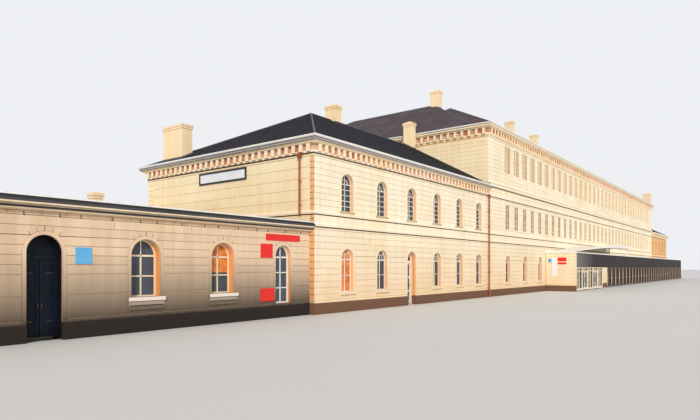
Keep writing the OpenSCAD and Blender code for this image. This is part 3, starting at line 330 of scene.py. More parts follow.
# The wing's copy is darker, partly duller paint and partly painted shade, and it turns near black
# towards the ground: painted shade.
wing_stucco = stucco("wing_stucco_and_painted_shade", "#EDD4B5", "#DBBD9E", ("#F0A05C", -0.710, -3.27),
                     ("#40372F", 0.30, 1.0), "#2B2420", wing_planes)
eave_stucco = stucco("eave_stucco", "#F6E3C6", "#E6CBA8", foot=CREAM_FOOT)
trim_stucco = stucco("trim_stucco", "#FFFBF0", "#FAF0DC", foot=CREAM_FOOT)
cornice_stucco = stucco("moulded_stucco", "#FAEBCF", "#F4DAB0", foot=CREAM_FOOT, dentils=True)
chimney_stucco = stucco("chimney_stucco", "#FDE8C2", "#F8D8AA", foot=CREAM_FOOT)
print("stucco:", [m.name for m in bpy.data.materials if "stucco" in m.name])

# %% [markdown]
# ## The other finishes
# Each material starts from the real one. Slate is split stone, dark blue-grey, with a dull sheen
# and a tone of its own in each tile. The joinery is timber under gloss paint. Cast iron and sheet
# steel are painted too, so none of them is metallic. A window pane by day is a dark, smooth
# mirror: the rooms behind are darker than the street.

# %% Slate, paint, metal and glass
def finish(name, light, dark, scale, bump=0.1, grain=60.0, depth=0.0005, **settings):
    """A finish with two shades in a noise pattern, a tone per tile or pane, and fine relief."""
    material, tree, shader = new_material(name, **settings)
    place = add(tree, "ShaderNodeTexCoord").outputs["Object"]
    noise = add(tree, "ShaderNodeTexNoise", {"Vector": place, "Scale": scale, "Detail": 3.0})
    tone = add(tree, "ShaderNodeAttribute", attribute_name="tone").outputs["Fac"]
    shift = add(tree, "ShaderNodeMath", {0: tone, 1: 0.35, 2: noise.outputs["Fac"]},
                operation="MULTIPLY_ADD").outputs[0]
    spread = add(tree, "ShaderNodeMapRange", {"Value": shift, "From Min": 0.25,
                                              "From Max": 0.75}).outputs[0]
    paint = layered(tree, colour(light), [(colour(dark), [spread])])
    fine = add(tree, "ShaderNodeTexNoise", {"Vector": place, "Scale": grain, "Detail": 2.0})
    relief = add(tree, "ShaderNodeBump", {"Strength": bump, "Distance": depth,
                                          "Height": fine.outputs["Fac"]})
    tree.links.new(paint, shader.inputs["Base Color"])
    tree.links.new(relief.outputs[0], shader.inputs["Normal"])
    return material


slate = finish("natural_slate", "#25242D", "#15161E", 9, 0.35, 300, Roughness=0.75,
               Specular_IOR_Level=0.12)
old_slate = finish("weathered_slate", "#594C51", "#3B3339", 7, 0.35, 300, Roughness=0.7,
                   Specular_IOR_Level=0.25)
lead = finish("lead_sheet", "#5C595F", "#49474E", 12, 0.2, 90, Roughness=0.6)
white_paint = finish("white_gloss_paint", "#F4F1EA", "#E6E0D4", 14, 0.08, 200, Roughness=0.35)
cream_paint = finish("cream_gloss_paint", "#FBF0D8", "#F1DDB6", 14, 0.08, 200, Roughness=0.4)
navy_paint = finish("navy_gloss_paint", "#101828", "#080C15", 14, 0.1, 200, Roughness=0.5,
                    Specular_IOR_Level=0.2)
grey_paint = finish("grey_gloss_paint", "#5E5C60", "#46454A", 14, 0.1, 200, Roughness=0.4)
white_metal = finish("white_coated_sheet", "#F7F5F0", "#E8E5DE", 8, 0.05, 120, Roughness=0.35)
grey_metal = finish("dark_grey_coated_sheet", "#3D3637", "#302A2B", 6, 0.08, 90, Roughness=0.7,
                    Specular_IOR_Level=0.15)
fascia_metal = finish("black_grey_coated_sheet", "#58585B", "#454548", 6, 0.08, 90,
                      Roughness=0.7, Specular_IOR_Level=0.15)
iron = finish("brown_painted_cast_iron", "#B05C34", "#8A4426", 10, 0.3, 160, Roughness=0.5)
dark_iron_and_shade = finish("dark_painted_iron_and_shade", "#3A3330", "#282321", 10, 0.2, 160, Roughness=0.5)
glass = finish("window_glass", "#4A5058", "#24262B", 5, 0.02, 20, 0.002, Roughness=0.06)
wing_glass = finish("blue_window_glass", "#56606C", "#3C434C", 5, 0.02, 20, 0.002,
                    Roughness=0.08, Specular_IOR_Level=0.3)
# The main block's panes are peach: painted sunlight in the glass.
peach_glass = finish("sunlit_window_glass", "#AC8862", "#6F5846", 6, 0.02, 20, 0.002,
                     Roughness=0.06)
amber_glass = finish("lamplit_window_glass", "#F6A04C", "#B4562A", 30, 0.05, 20, 0.002,
                     Roughness=0.12)
annexe_glass = finish("annexe_window_glass", "#5A473E", "#2B2526", 7, 0.02, 20, 0.002,
                      Roughness=0.1, Specular_IOR_Level=0.3)
screed = finish("floor_screed", "#A09A90", "#8C867C", 6, 0.2, 150, Roughness=0.85)
red_enamel = finish("red_enamelled_sheet", "#EC2210", "#D81A0A", 6, 0.03, 90, Roughness=0.3)
blue_enamel = finish("blue_enamelled_sheet", "#63B4E8", "#4FA2DA", 6, 0.03, 90, Roughness=0.3)
white_enamel = finish("white_enamelled_sheet", "#F1F2F4", "#E2E5EA", 6, 0.03, 90,
                      Roughness=0.3)
# Dark joints, and the painted shade and dirt under the string courses.
joint_and_shade_paint = finish("brown_joint_and_shade_line", "#6A5443", "#574335", 12, 0.1, 120, Roughness=0.8,
                      Specular_IOR_Level=0.1)
bronze_paint = finish("brown_metal_paint", "#5C4A3E", "#3A2F29", 14, 0.1, 200, Roughness=0.5,
                      Specular_IOR_Level=0.2)
grey_trim = finish("grey_painted_board", "#B5B1B2", "#9C989B", 10, 0.08, 120, Roughness=0.6)
black_paint = finish("black_timber_paint_and_shade", "#2A2828", "#1C1A1B", 12, 0.1, 120,
                     Roughness=0.45)
print(len(bpy.data.materials), "materials")

# %% [markdown]
# The annexe's dark fascia is lighter towards its near end: painted light. The finish exists by
# now, so one more layer goes between its coat and the shader.

# %% Painted light on the annexe's fascia
tree = grey_metal.node_tree
coat = tree.nodes["Principled BSDF"].inputs["Base Color"]
along = add(tree, "ShaderNodeSeparateXYZ", {
    0: add(tree, "ShaderNodeTexCoord").outputs["Object"]}).outputs["X"]
sun_painted = add(tree, "ShaderNodeMapRange", {"Value": along, "From Min": 2.5, "From Max": 3.2,
                                            "To Min": 0.7, "To Max": 0.0}).outputs[0]
tree.links.new(layered(tree, coat.links[0].from_socket, [(colour("#8D888A"), [sun_painted])]), coat)
print("the fascia is bleached up to 3.2 m along")

# %% [markdown]
# A node of the CAD model keeps its mesh, and only gets a finish in its material slots. The walls
# need no more than that for their openings, which are cut already.

# %% Give the CAD nodes their finishes
def dress(material, *names):
    for name in names:
        for place in nodes[name].material_slots:
            place.material = material


dress(front_stucco, "block_front_wall_left", "block_front_wall_right", "block_wall_over_door",
      "block_rear_wall", "main_front_wall", "main_rear_wall", "rear_wing_walls", "annexe_walls")
dress(pavilion_stucco, "pavilion_front_wall", "pavilion_rear_wall", "pavilion_end_wall")
dress(end_stucco, "block_end_wall", "main_end_walls")
dress(wing_stucco, "wing_front_wall_left", "wing_front_wall_right", "wing_wall_over_portal",
      "wing_rear_wall", "wing_end_wall")
dress(eave_stucco, "wing_cornice")
dress(cornice_stucco, "block_cornice", "main_cornice", "pavilion_cornice",
      "rear_wing_cornice")
dress(chimney_stucco, "chimneys")
dress(slate, "block_roof", "pavilion_roof")
dress(old_slate, "main_roof", "rear_wing_roof")
dress(fascia_metal, "wing_roof")
dress(navy_paint, "portal_frame", "portal_leaf_left", "portal_leaf_right")
dress(white_paint, "block_door_frame", "block_door", "annexe_leaf_1", "annexe_leaf_2",
      "annexe_leaf_3", "annexe_leaf_4")
dress(cream_paint, "annexe_entrance_frame")
dress(bronze_paint, "annexe_screen")
dress(grey_metal, "annexe_fascia")
dress(white_metal, "annexe_roof", "annexe_canopy", "gutters")
dress(iron, "downpipes")
dress(screed, "ground_floor", "upper_floors")
dress(glass, "ground_glass", "first_floor_glass", "second_floor_glass")
print("finishes on", len(nodes), "nodes")

# %% [markdown]
# ## A collector of corners and faces
# Most pieces of a building are straight sticks, plates and mouldings. A small class collects
# their corners, in the drawing's millimetres, and makes one mesh of them all. A unit that will be
# repeated keeps the origin of its own drawing instead.

# %% The collector
def inset(outline, gap):
    """An anticlockwise outline of (across, up) points, moved inwards by gap."""
    moved = []
    for i, (x, z) in enumerate(outline):
        before, after = outline[i - 1], outline[(i + 1) % len(outline)]
        ax, az, bx, bz = x - before[0], z - before[1], after[0] - x, after[1] - z
        a, b = math.hypot(ax, az), math.hypot(bx, bz)
        nx, nz = -az / a - bz / b, ax / a + bx / b
        reach = 2 * gap / max(nx * nx + nz * nz, 0.6)
        moved.append((x + nx * reach, z + nz * reach))
    return moved


class Shape:
    def __init__(self):
        self.points, self.faces, self.tones = [], [], []

    def add(self, rings, closed=False, tone=0.0):
        """Skin over rings of corners; the first and last ring are filled unless closed."""
        start, size = len(self.points), len(rings[0])
        for ring in rings:
            self.points += ring
        bands = [(j, (j + 1) % len(rings)) for j in range(len(rings) - (not closed))]
        faces = [[start + j * size + i, start + j * size + (i + 1) % size,
                  start + k * size + (i + 1) % size, start + k * size + i]
                 for j, k in bands for i in range(size)]
        if not closed:
            faces.append([start + i for i in reversed(range(size))])
            faces.append([start + (len(rings) - 1) * size + i for i in range(size)])
        self.faces += faces
        self.tones += [tone] * len(faces)

    def box(self, low, high):
        self.add([[(x, y, z) for x, y in ((low[0], low[1]), (high[0], low[1]),
                                          (high[0], high[1]), (low[0], high[1]))]
                  for z in (low[2], high[2])])

    def plate(self, outline, y0, y1):
        """A flat outline of (x, z) points, from depth y0 to depth y1."""
        self.add([[(x, y, z) for x, z in outline] for y in (y0, y1)])

    def ring(self, outer, inner, y0, y1):
        """The band between two outlines that have as many points as each other."""
        self.add([[(x, y, z) for x, z in line] for line, y in
                  ((outer, y0), (inner, y0), (inner, y1), (outer, y1))], closed=True)

    def bar(self, a, b, width, y0, y1):
        """A straight bar between two (x, z) points."""
        along = Vector(b) - Vector(a)
        side = Vector((-along.y, along.x)).normalized() * width / 2
        corners = [Vector(a) - side, Vector(b) - side, Vector(b) + side, Vector(a) + side]
        self.plate([tuple(c) for c in corners], y0, y1)

    def sweep(self, profile, path, closed=False):
        """A moulding of (out, up) points round path(out), a list of mitred corners."""
        stations = list(zip(*[[(x, y, z) for x, y in path(out)] for out, z in profile]))
        self.add([list(s) for s in stations], closed=closed)

    def move(self, across, back=0):
        """Takes what was drawn about its own middle to its place."""
        self.points = [(x + across, y + back, z) for x, y, z in self.points]

    def build(self, name, material=None, unit=False):
        mesh = bpy.data.meshes.new(name)
        shift = Vector((0, 0, 0)) if unit else Vector((ORIGIN_X, ORIGIN_Y, 0))
        mesh.from_pydata([(Vector(p) - shift) * MM for p in self.points], [], self.faces)
        tone = mesh.attributes.new("tone", "FLOAT", "FACE")
        tone.data.foreach_set("value", self.tones)
        work = bmesh.new()
        work.from_mesh(mesh)
        bmesh.ops.recalc_face_normals(work, faces=work.faces)
        work.to_mesh(mesh)
        work.free()
        piece = bpy.data.objects.new(name, mesh)
        bpy.context.scene.collection.objects.link(piece)
        if material:
            mesh.materials.append(material)
        return piece


cube = Shape()
cube.box((0, 0, 0), (1, 1, 1))
print("a box has", len(cube.faces), "faces and", len(cube.points), "corners")

# %% [markdown]
# A finished piece rides on a body of the model, so that it moves with it. It may also stand for a
# node of the CAD model, which is then hidden. Door furniture and trim are mostly boxes, so one more
# function makes a piece of nothing else.

# %% Fitting a piece to the model
def fit(piece, slot, body="building", *replaced):
    """Says what a finished piece rides on and what it stands for; its slot is not used."""
    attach(piece, body)
    if replaced:
        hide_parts(*replaced)
    print(piece.name, len(piece.data.polygons), "faces")


def of_boxes(name, material, slot, boxes, body="building"):
    """A piece made of boxes, each given by its lowest and its highest corner."""
    shape = Shape()
    for low, high in boxes:
        shape.box(low, high)
    fit(shape.build(name, material), slot, body)


# %% [markdown]
# ## Blocks of stone in the stucco
# The grooves in the stucco draw courses of large blocks, with long quoins at the corners. A brick
# texture can't follow arches, so each block is a thin shape of its own with a bevelled edge. It
# is cut where an opening, with its raised band, passes through its course. The outline of an
# opening is a list of (half width, height) points, which also describes a gable.

# %% Outlines of the openings
BAND, HALF_ARCH = 12, 55
LOW_CROWN, HIGH_CROWN, WING_CROWN = 343, 752, 348


def arc(x, z, radius, start, end, count):
    """Points along an arc, with its angles in degrees."""
    turns = [math.radians(start + (end - start) * k / count) for k in range(count + 1)]
    return [(x + radius * math.cos(t), z + radius * math.sin(t)) for t in turns]


def ray(x, z, turned, start, end):
    """Two points on a ray from a middle, at two distances."""
    return [arc(x, z, reach, turned, turned, 1)[0] for reach in (start, end)]


def arch_profile(half, low, crown):
    """Half widths of an arched opening from its foot to its crown."""
    return [(half, low), *arc(0, crown - half, half, 0, 90, 7)[:-1], (0, crown)]


def square_profile(half, low, high):
    return [(half, low), (half, high), (0, high)]


def edge(profile, low, high):
    """The part of a profile between two heights; where it is absent its half width is 0."""
    points = [(0, low), (0, profile[0][1])] if profile[0][1] > low else []
    for (w0, z0), (w1, z1) in zip(profile, profile[1:]):
        start, end = max(z0, low), min(z1, high)
        if start > end or (z0 == z1 and not low < z0 < high):
            continue
        for z, share in ((start, 0), (end, 1)):
            if z1 > z0:
                share = (z - z0) / (z1 - z0)
            points.append((w0 + (w1 - w0) * share, z))
    if profile[-1][1] < high:
        points += [(0, profile[-1][1]), (0, high)]
    kept = points[:1]
    for point in points[1:]:
        if abs(point[0] - kept[-1][0]) + abs(point[1] - kept[-1][1]) > 0.05:
            kept.append(point)
    return kept


whole = arch_profile(HALF_ARCH, 93, LOW_CROWN)
print("an arch has", len(whole), "points a side, a course across its foot", len(edge(whole, 93, 130)))

# %% [markdown]
# Each course is filled from stop to stop, where a stop is a corner of the wall or an opening that
# the course meets. Masons keep their joints apart, so the blocks of a course differ in length, by
# a random draw with a fixed seed, and the quoins at a corner are long and short by turns.

# %% Laying the courses
JOINT_W, PROUD, BEVEL, SET_IN = 1.7, 1.5, 0.6, 1.0
LONGEST, NARROWEST_BLOCK, LEAST_CUT = 420, 8, 4
random_stone = random.Random(7)


def lay_block(shape, place, left, right, low, high):
    """One block between two stops, each a (middle, profile or None) pair."""
    sides = []
    for middle, profile in (left, right):
        line = edge(profile, low, high) if profile else [(0, low), (0, high)]
        sign = 1 if not sides else -1
        sides.append([(middle + sign * w, z) for w, z in line])
    if min(p[0] for p in sides[1]) - max(p[0] for p in sides[0]) < NARROWEST_BLOCK:
        return
    outline = inset(sides[1] + sides[0][::-1], JOINT_W / 2)
    face = inset(outline, BEVEL)
    rings = [[place(u, out, z) for u, z in line] for line, out in
             ((outline, -SET_IN), (outline, PROUD - BEVEL), (face, PROUD))]
    shape.add(rings, tone=random_stone.uniform(-1, 1))


def widest(profile):
    """Half the width of an opening where it is widest; a corner has none."""
    return max(w for w, z in profile) if profile else 0


def lay_wall(shape, place, start, end, heights, openings, longest, quoins=(0, 0)):
    """Courses between the given heights, from start to end, round the openings."""
    for row, (low, high) in enumerate(zip(heights, heights[1:])):
        stops = [(start, None)]
        stops += [(m, p) for m, p in sorted(openings, key=lambda o: o[0])
                  if p[0][1] < high - LEAST_CUT and p[-1][1] > low + LEAST_CUT]
        stops.append((end, None))
        laid = stops[:1]
        for here, after in zip(stops, stops[1:]):
            a, b = here[0] + widest(here[1]), after[0] - widest(after[1])
            long_row = 0.6 if row % 2 else 1
            if not here[1] and quoins[0] and b - a > 2 * quoins[0]:
                laid.append((a + quoins[0] * long_row, None))
                a += quoins[0] * long_row
            last = []
            if not after[1] and quoins[1] and b - a > 2 * quoins[1]:
                last = [(b - quoins[1] * long_row, None)]
                b -= quoins[1] * long_row
            parts = max(1, round((b - a) / longest + random_stone.uniform(-0.3, 0.3)))
            for k in range(1, parts):
                share = (k + random_stone.uniform(-0.22, 0.22)) / parts
                laid.append((a + (b - a) * share, None))
            laid += [*last, after]
        for left, right in zip(laid, laid[1:]):
            lay_block(shape, place, left, right, low, high)


def steps(low, high, count):
    return [low + (high - low) * i / count for i in range(count + 1)]


def front(y):
    return lambda u, out, z: (u, y - out, z)


def rear(y):
    return lambda u, out, z: (u, y + out, z)


def left_end(x):
    return lambda u, out, z: (x - out, u, z)


def right_end(x):
    return lambda u, out, z: (x + out, u, z)


print("five courses of a metre:", steps(0, 1000, 5))

# %% [markdown]
# The courses follow the photograph: eleven in the ground storey, nine beside the upper windows,
# wide plain blocks between the two string courses, and larger blocks on the wing and on the end
# walls. The rear walls repeat the fronts.

# %% Blocks on the long walls
GROUND_ROWS = steps(68, 438, 11)
UPPER_ROWS = steps(530, 814, 9)
FRIEZE, UNDER_DENTILS, UNDER_MAIN_DENTILS = [466, 516], [822.4, 836], [1322.4, 1337]
PLAIN, QUOIN, WING_QUOIN = 700, 92, 80


def low_arches(axes):
    return [(x, arch_profile(HALF_ARCH + BAND, 93, LOW_CROWN + BAND)) for x in axes]


def high_arches(axes):
    return [(x, arch_profile(HALF_ARCH + BAND, 530, HIGH_CROWN + BAND)) for x in axes]


def two_storeys(shape, place, x0, x1, openings, quoins):
    lay_wall(shape, place, x0, x1, GROUND_ROWS, openings, LONGEST, quoins)
    lay_wall(shape, place, x0, x1, FRIEZE, [], PLAIN)
    lay_wall(shape, place, x0, x1, UPPER_ROWS, openings, LONGEST, quoins)
    lay_wall(shape, place, x0, x1, UNDER_DENTILS, [], PLAIN)


def three_storeys(shape, place, x0, x1, arches, quoins):
    """Courses of a wall of the main block or the rear wing, with arches at the given places."""
    middle = [(x, square_profile(103 / 2, 566, 790)) for x in halves(arches)]
    high = [(x, square_profile(85 / 2 + 55 / 2, 1060, 1293)) for x in halves(arches)]
    two_storeys(shape, place, x0, x1, low_arches(arches) + middle, quoins)
    lay_wall(shape, place, x0, x1, [836, 874, 912], [], PLAIN)
    lay_wall(shape, place, x0, x1, steps(940, 1314, 11), high, LONGEST, quoins)
    lay_wall(shape, place, x0, x1, UNDER_MAIN_DENTILS, [], PLAIN)


door_arch = [(DOOR_X, arch_profile(HALF_ARCH + BAND, 68, LOW_CROWN + BAND))]
plain_axes = [x for x in block_axes if x != DOOR_X]
block_rows = {"front": low_arches(plain_axes) + door_arch, "rear": low_arches(block_axes)}
main_rows = {"front": (MAIN_LEFT, main_axes), "rear": (REAR_RIGHT, main_axes[3:])}
for side, wall_at in (("front", front(0)), ("rear", rear(DEPTH))):
    blocks = Shape()
    two_storeys(blocks, wall_at, 0, MAIN_LEFT, block_rows[side] + high_arches(block_axes),
                (QUOIN, 0))
    fit(blocks.build(f"block_{side}_blocks", front_stucco), "stucco")
    blocks = Shape()
    start, arches = main_rows[side]
    three_storeys(blocks, wall_at, start, MAIN_RIGHT, arches, (QUOIN, QUOIN))
    fit(blocks.build(f"main_{side}_blocks", front_stucco), "stucco")
    blocks = Shape()
    two_storeys(blocks, wall_at, MAIN_RIGHT, STATION_RIGHT,
                low_arches(pavilion_axes) + high_arches(pavilion_axes), (0, QUOIN))
    fit(blocks.build(f"pavilion_{side}_blocks", pavilion_stucco), "stucco")
blocks = Shape()
three_storeys(blocks, left_end(MAIN_LEFT), DEPTH + 54, REAR_END, rear_side_axes, (0, QUOIN))
three_storeys(blocks, right_end(REAR_RIGHT), DEPTH + 2, REAR_END, rear_side_axes, (0, QUOIN))
three_storeys(blocks, rear(REAR_END), MAIN_LEFT, REAR_RIGHT, rear_end_axes, (QUOIN, QUOIN))
fit(blocks.build("rear_wing_blocks", front_stucco), "stucco")

# %% [markdown]
# The wing's courses are taller below the sills, and its arches are wider. The tall window and the
# doorway go down to the plinth. A last row of small blocks lies under the eave.

# %% Blocks on the wing
WING_ROWS = [68, 149, 218, *steps(218, 409, 6)[1:]]
wing_arch = [(x, arch_profile(62.5 + BAND, 82, WING_CROWN + BAND)) for x in wing_axes]
front_arch = [o for i, o in enumerate(wing_arch) if i not in (0, 3)]
front_arch += [(wing_axes[0], arch_profile(52 + BAND, 68, WING_CROWN + BAND)),
               (PORTAL_X, arch_profile(57 + BAND, 68, WING_CROWN + BAND))]
blocks = Shape()
lay_wall(blocks, front(WING_FRONT), WING_LEFT, 0, WING_ROWS, front_arch, 380, (WING_QUOIN, 0))
lay_wall(blocks, rear(WING_REAR), WING_LEFT, 0, WING_ROWS, wing_arch, 380, (WING_QUOIN, 0))
lay_wall(blocks, left_end(WING_LEFT), WING_FRONT, WING_REAR, WING_ROWS, [], 380,
         (WING_QUOIN, WING_QUOIN))
for place, length in ((front(WING_FRONT), (WING_LEFT, 0)), (rear(WING_REAR), (WING_LEFT, 0)),
                      (left_end(WING_LEFT), (WING_FRONT, WING_REAR))):
    lay_wall(blocks, place, *length, [410, 424], [], 82)
fit(blocks.build("wing_blocks", wing_stucco), "stucco")

# %% [markdown]
# The end walls have longer blocks. The strip of wall between the block's corner and the wing is a
# piece of its own, because its quoins are browner, which is painted shade, with dark joints. Above
# the block's roof the main block's end wall is laid round the outline of that roof, as if it were
# an opening.

# %% Blocks on the end walls
block_gable = [(743, [(781, 905), (0, 1330)])]
blocks = Shape()
end = left_end(0)
lay_wall(blocks, end, WING_REAR, DEPTH, GROUND_ROWS, [], 260, (0, QUOIN))
lay_wall(blocks, end, 28, DEPTH, FRIEZE, [], PLAIN)
lay_wall(blocks, end, 28, DEPTH - 66, steps(530, 814, 5), [], PLAIN)
lay_wall(blocks, end, DEPTH - 66, DEPTH, UPPER_ROWS, [], 300)
corner = Shape()
lay_wall(corner, end, 0, WING_FRONT, GROUND_ROWS, [], 300)
lay_wall(corner, end, 0, 28, [466, 491, 516], [], 300)
lay_wall(corner, end, 0, 28, UPPER_ROWS, [], 300)
fit(corner.build("corner_quoins", quoin_stucco), "stucco")
joints = zip([*GROUND_ROWS[1:-1], 491, *UPPER_ROWS[1:-1]], [30, 27, 27] * 8)
of_boxes("corner_joints", joint_and_shade_paint, "stucco",
         [((-PROUD - 0.5, 1, z - 1.3), (0, reach, z + 1.3)) for z, reach in joints])
for wall_at in (left_end(MAIN_LEFT), right_end(MAIN_RIGHT)):
    lay_wall(blocks, wall_at, 0, DEPTH, steps(906, 1314, 12), block_gable, PLAIN, (QUOIN, QUOIN))
    lay_wall(blocks, wall_at, 0, DEPTH, UNDER_MAIN_DENTILS, [], PLAIN)
fit(blocks.build("end_wall_blocks", end_stucco), "stucco")
blocks = Shape()
end = right_end(STATION_RIGHT)
lay_wall(blocks, end, 0, DEPTH, GROUND_ROWS, [], 300, (QUOIN, QUOIN))
lay_wall(blocks, end, 0, DEPTH, FRIEZE, [], 520)
lay_wall(blocks, end, 0, DEPTH, UPPER_ROWS, [], 300, (QUOIN, QUOIN))
fit(blocks.build("pavilion_end_blocks", pavilion_stucco), "stucco")
blocks = Shape()
for wall_at in (left_end(ANNEXE_LEFT), right_end(ANNEXE_RIGHT)):
    lay_wall(blocks, wall_at, ANNEXE_FRONT, -8, steps(0, 385, 11), [], 150)
fit(blocks.build("annexe_blocks", front_stucco), "stucco")

# %% [markdown]
# Above the wing's arches the joints run like rays from the ring of the arch to the next course.

# %% Rays over the wing's arches
rays = Shape()
for wall_y, out, arches in ((WING_FRONT, -1, front_arch), (WING_REAR, 1, wing_arch)):
    y0, y1 = sorted((wall_y, wall_y + out * (PROUD + 0.5)))
    for middle, profile in arches:
        radius, crown = profile[0][0], profile[-1][1]
        for turned in (52, 71, 90, 109, 128):
            rays.bar(*ray(middle, crown - radius, turned, radius, radius + 15), 1.2, y0, y1)
fit(rays.build("arch_rays", joint_and_shade_paint), "stucco")

# %% [markdown]
# ## Repeating a window with Geometry Nodes
# Every window of a kind is the same joinery, so one unit is drawn and Geometry Nodes set it on a
# point for each opening. Each copy gets a tone of its own, so that no two panes are quite alike.
# A tree ends in Realize Instances and Set Material, and what it makes is kept as a plain mesh.

# %% Starting, ending and running a tree
def start_tree(name, inputs):
    """A geometry tree with named inputs; returns it with its input sockets."""
    tree = bpy.data.node_groups.new(name, "GeometryNodeTree")
    tree.interface.new_socket("Geometry", in_out="INPUT", socket_type="NodeSocketGeometry")
    for label, kind in inputs.items():
        tree.interface.new_socket(label, in_out="INPUT", socket_type="NodeSocket" + kind)
    tree.interface.new_socket("Geometry", in_out="OUTPUT", socket_type="NodeSocketGeometry")
    return tree, add(tree, "NodeGroupInput").outputs


def end_tree(tree, geometry, material):
    solid = add(tree, "GeometryNodeRealizeInstances", {0: geometry})
    coated = add(tree, "GeometryNodeSetMaterial", {"Geometry": solid.outputs[0],
                                                   "Material": material})
    add(tree, "NodeGroupOutput", {0: coated.outputs[0]})


def each_its_tone(tree, copies, seed):
    """Gives each copy a tone of its own, which the finishes read."""
    tone = add(tree, "FunctionNodeRandomValue", {2: -1.0, 3: 1.0, 8: seed}, data_type="FLOAT")
    return add(tree, "GeometryNodeStoreNamedAttribute", {
        "Geometry": copies, "Name": "tone", "Value": tone.outputs[1]},
        data_type="FLOAT", domain="INSTANCE").outputs[0]


def grow(name, tree, values, mesh=None):
    """Runs a tree on a mesh and keeps the result as a plain mesh object."""
    host = bpy.data.objects.new(name, mesh or bpy.data.meshes.new(name))
    bpy.context.scene.collection.objects.link(host)
    modifier = host.modifiers.new("grow", "NODES")
    modifier.node_group = tree
    for item in tree.interface.items_tree:
        if item.in_out == "INPUT" and item.name in values:
            modifier[item.identifier] = values[item.name]
    graph = bpy.context.evaluated_depsgraph_get()
    made = bpy.data.meshes.new_from_object(host.evaluated_get(graph),
                                           preserve_all_data_layers=True, depsgraph=graph)
    bpy.data.objects.remove(host)
    made.name = name
    piece = bpy.data.objects.new(name, made)
    bpy.context.scene.collection.objects.link(piece)
    return piece


print(len(bpy.data.meshes), "meshes before the first tree grows")

# %% [markdown]
# The first tree sets one unit on many points. A point also carries the turn of its wall, because
# a window on the rear wall is the same unit turned round. The places are written as points of the
# drawing, with functions for the front and rear walls and for the three walls of the rear wing.

# %% A tree that sets units on points
scatter_tree, given = start_tree("units on points", {"Unit": "Object", "Seed": "Int",
                                                     "Material": "Material"})
unit_info = add(scatter_tree, "GeometryNodeObjectInfo", {"Object": given["Unit"],
                                                         "As Instance": True})
turn = add(scatter_tree, "GeometryNodeInputNamedAttribute", {"Name": "turn"}, data_type="FLOAT")
angles = add(scatter_tree, "ShaderNodeCombineXYZ", {"Z": turn.outputs["Attribute"]})
as_rotation = add(scatter_tree, "FunctionNodeEulerToRotation", {0: angles.outputs[0]})
copies = add(scatter_tree, "GeometryNodeInstanceOnPoints", {
    "Points": given["Geometry"], "Instance": unit_info.outputs["Geometry"],
    "Rotation": as_rotation.outputs[0]})
toned = each_its_tone(scatter_tree, copies.outputs[0], given["Seed"])
end_tree(scatter_tree, toned, given["Material"])


def scatter(name, unit, places, material, seed=1):
    """Sets a unit on each (x, y, z, turn) place of the drawing."""
    mesh = bpy.data.meshes.new(name)
    mesh.from_pydata([site(x, y, z) for x, y, z, turned in places], [], [])
    mesh.attributes.new("turn", "FLOAT", "POINT").data.foreach_set(
        "value", [turned for x, y, z, turned in places])
    return grow(name, scatter_tree, {"Unit": unit, "Seed": seed, "Material": material}, mesh)


def both_sides(axes, hidden=0):
    """Places on the front wall and, turned round, on the rear wall past the hidden ones."""
    return [(x, 0, 0, 0.0) for x in axes] + [(x, DEPTH, 0, math.pi) for x in axes[hidden:]]


def round_rear_wing(side_axes, end_axes):
    """Places on the rear wing's left, right and end walls."""
    quarter = math.pi / 2
    return [*[(MAIN_LEFT, y, 0, -quarter) for y in side_axes],
            *[(REAR_RIGHT, y, 0, quarter) for y in side_axes],
            *[(x, REAR_END, 0, math.pi) for x in end_axes]]


print(len(scatter_tree.nodes), "nodes set a unit on points")

# %% [markdown]
# A window is a frame in its opening, a pane behind it, and bars. The arched ones have a fanlight
# over a transom. Their frames stand 18 mm behind the wall face, or 36 mm in the wing, and the
# pane just behind that. The square ones of the main block are nearly flush with the wall, as the
# photograph shows. A glazing bar is two points and a width, so a window is a short list of them.

# %% Joinery of one window
def arched_outline(w, low, crown):
    return [(-w / 2, low), (w / 2, low), *arc(0, crown - w / 2, w / 2, 0, 180, 12)]


def square_outline(w, low, high):
    return [(-w / 2, low), (w / 2, low), (w / 2, high), (-w / 2, high)]


def window(name, outline, bars, frame_w=5, depth=36):
    """A frame round an outline with its (a, b, width) bars, and the pane behind them."""
    joinery, pane = Shape(), Shape()
    joinery.ring(outline, inset(outline, frame_w), depth, depth + 8)
    for a, b, width in bars:
        joinery.bar(a, b, width, depth + 1, depth + 5)
    pane.plate(inset(outline, 1), depth + 4.5, depth + 6)
    return joinery.build(name + "_unit", unit=True), pane.build(name + "_pane", unit=True)


def half_round(z, radius):
    """The curved bar of a fanlight, as short straight ones."""
    points = arc(0, z, radius, 0, 180, 8)
    return [(a, b, 2.6) for a, b in zip(points, points[1:])]


def grid_bars(w, low, high, columns, rows, width):
    upright = [((x, low), (x, high), width) for x in
               [w * (k / columns - 0.5) for k in range(1, columns)]]
    level = [((-w / 2, z), (w / 2, z), width) for z in
             [low + (high - low) * k / rows for k in range(1, rows)]]
    return upright + level


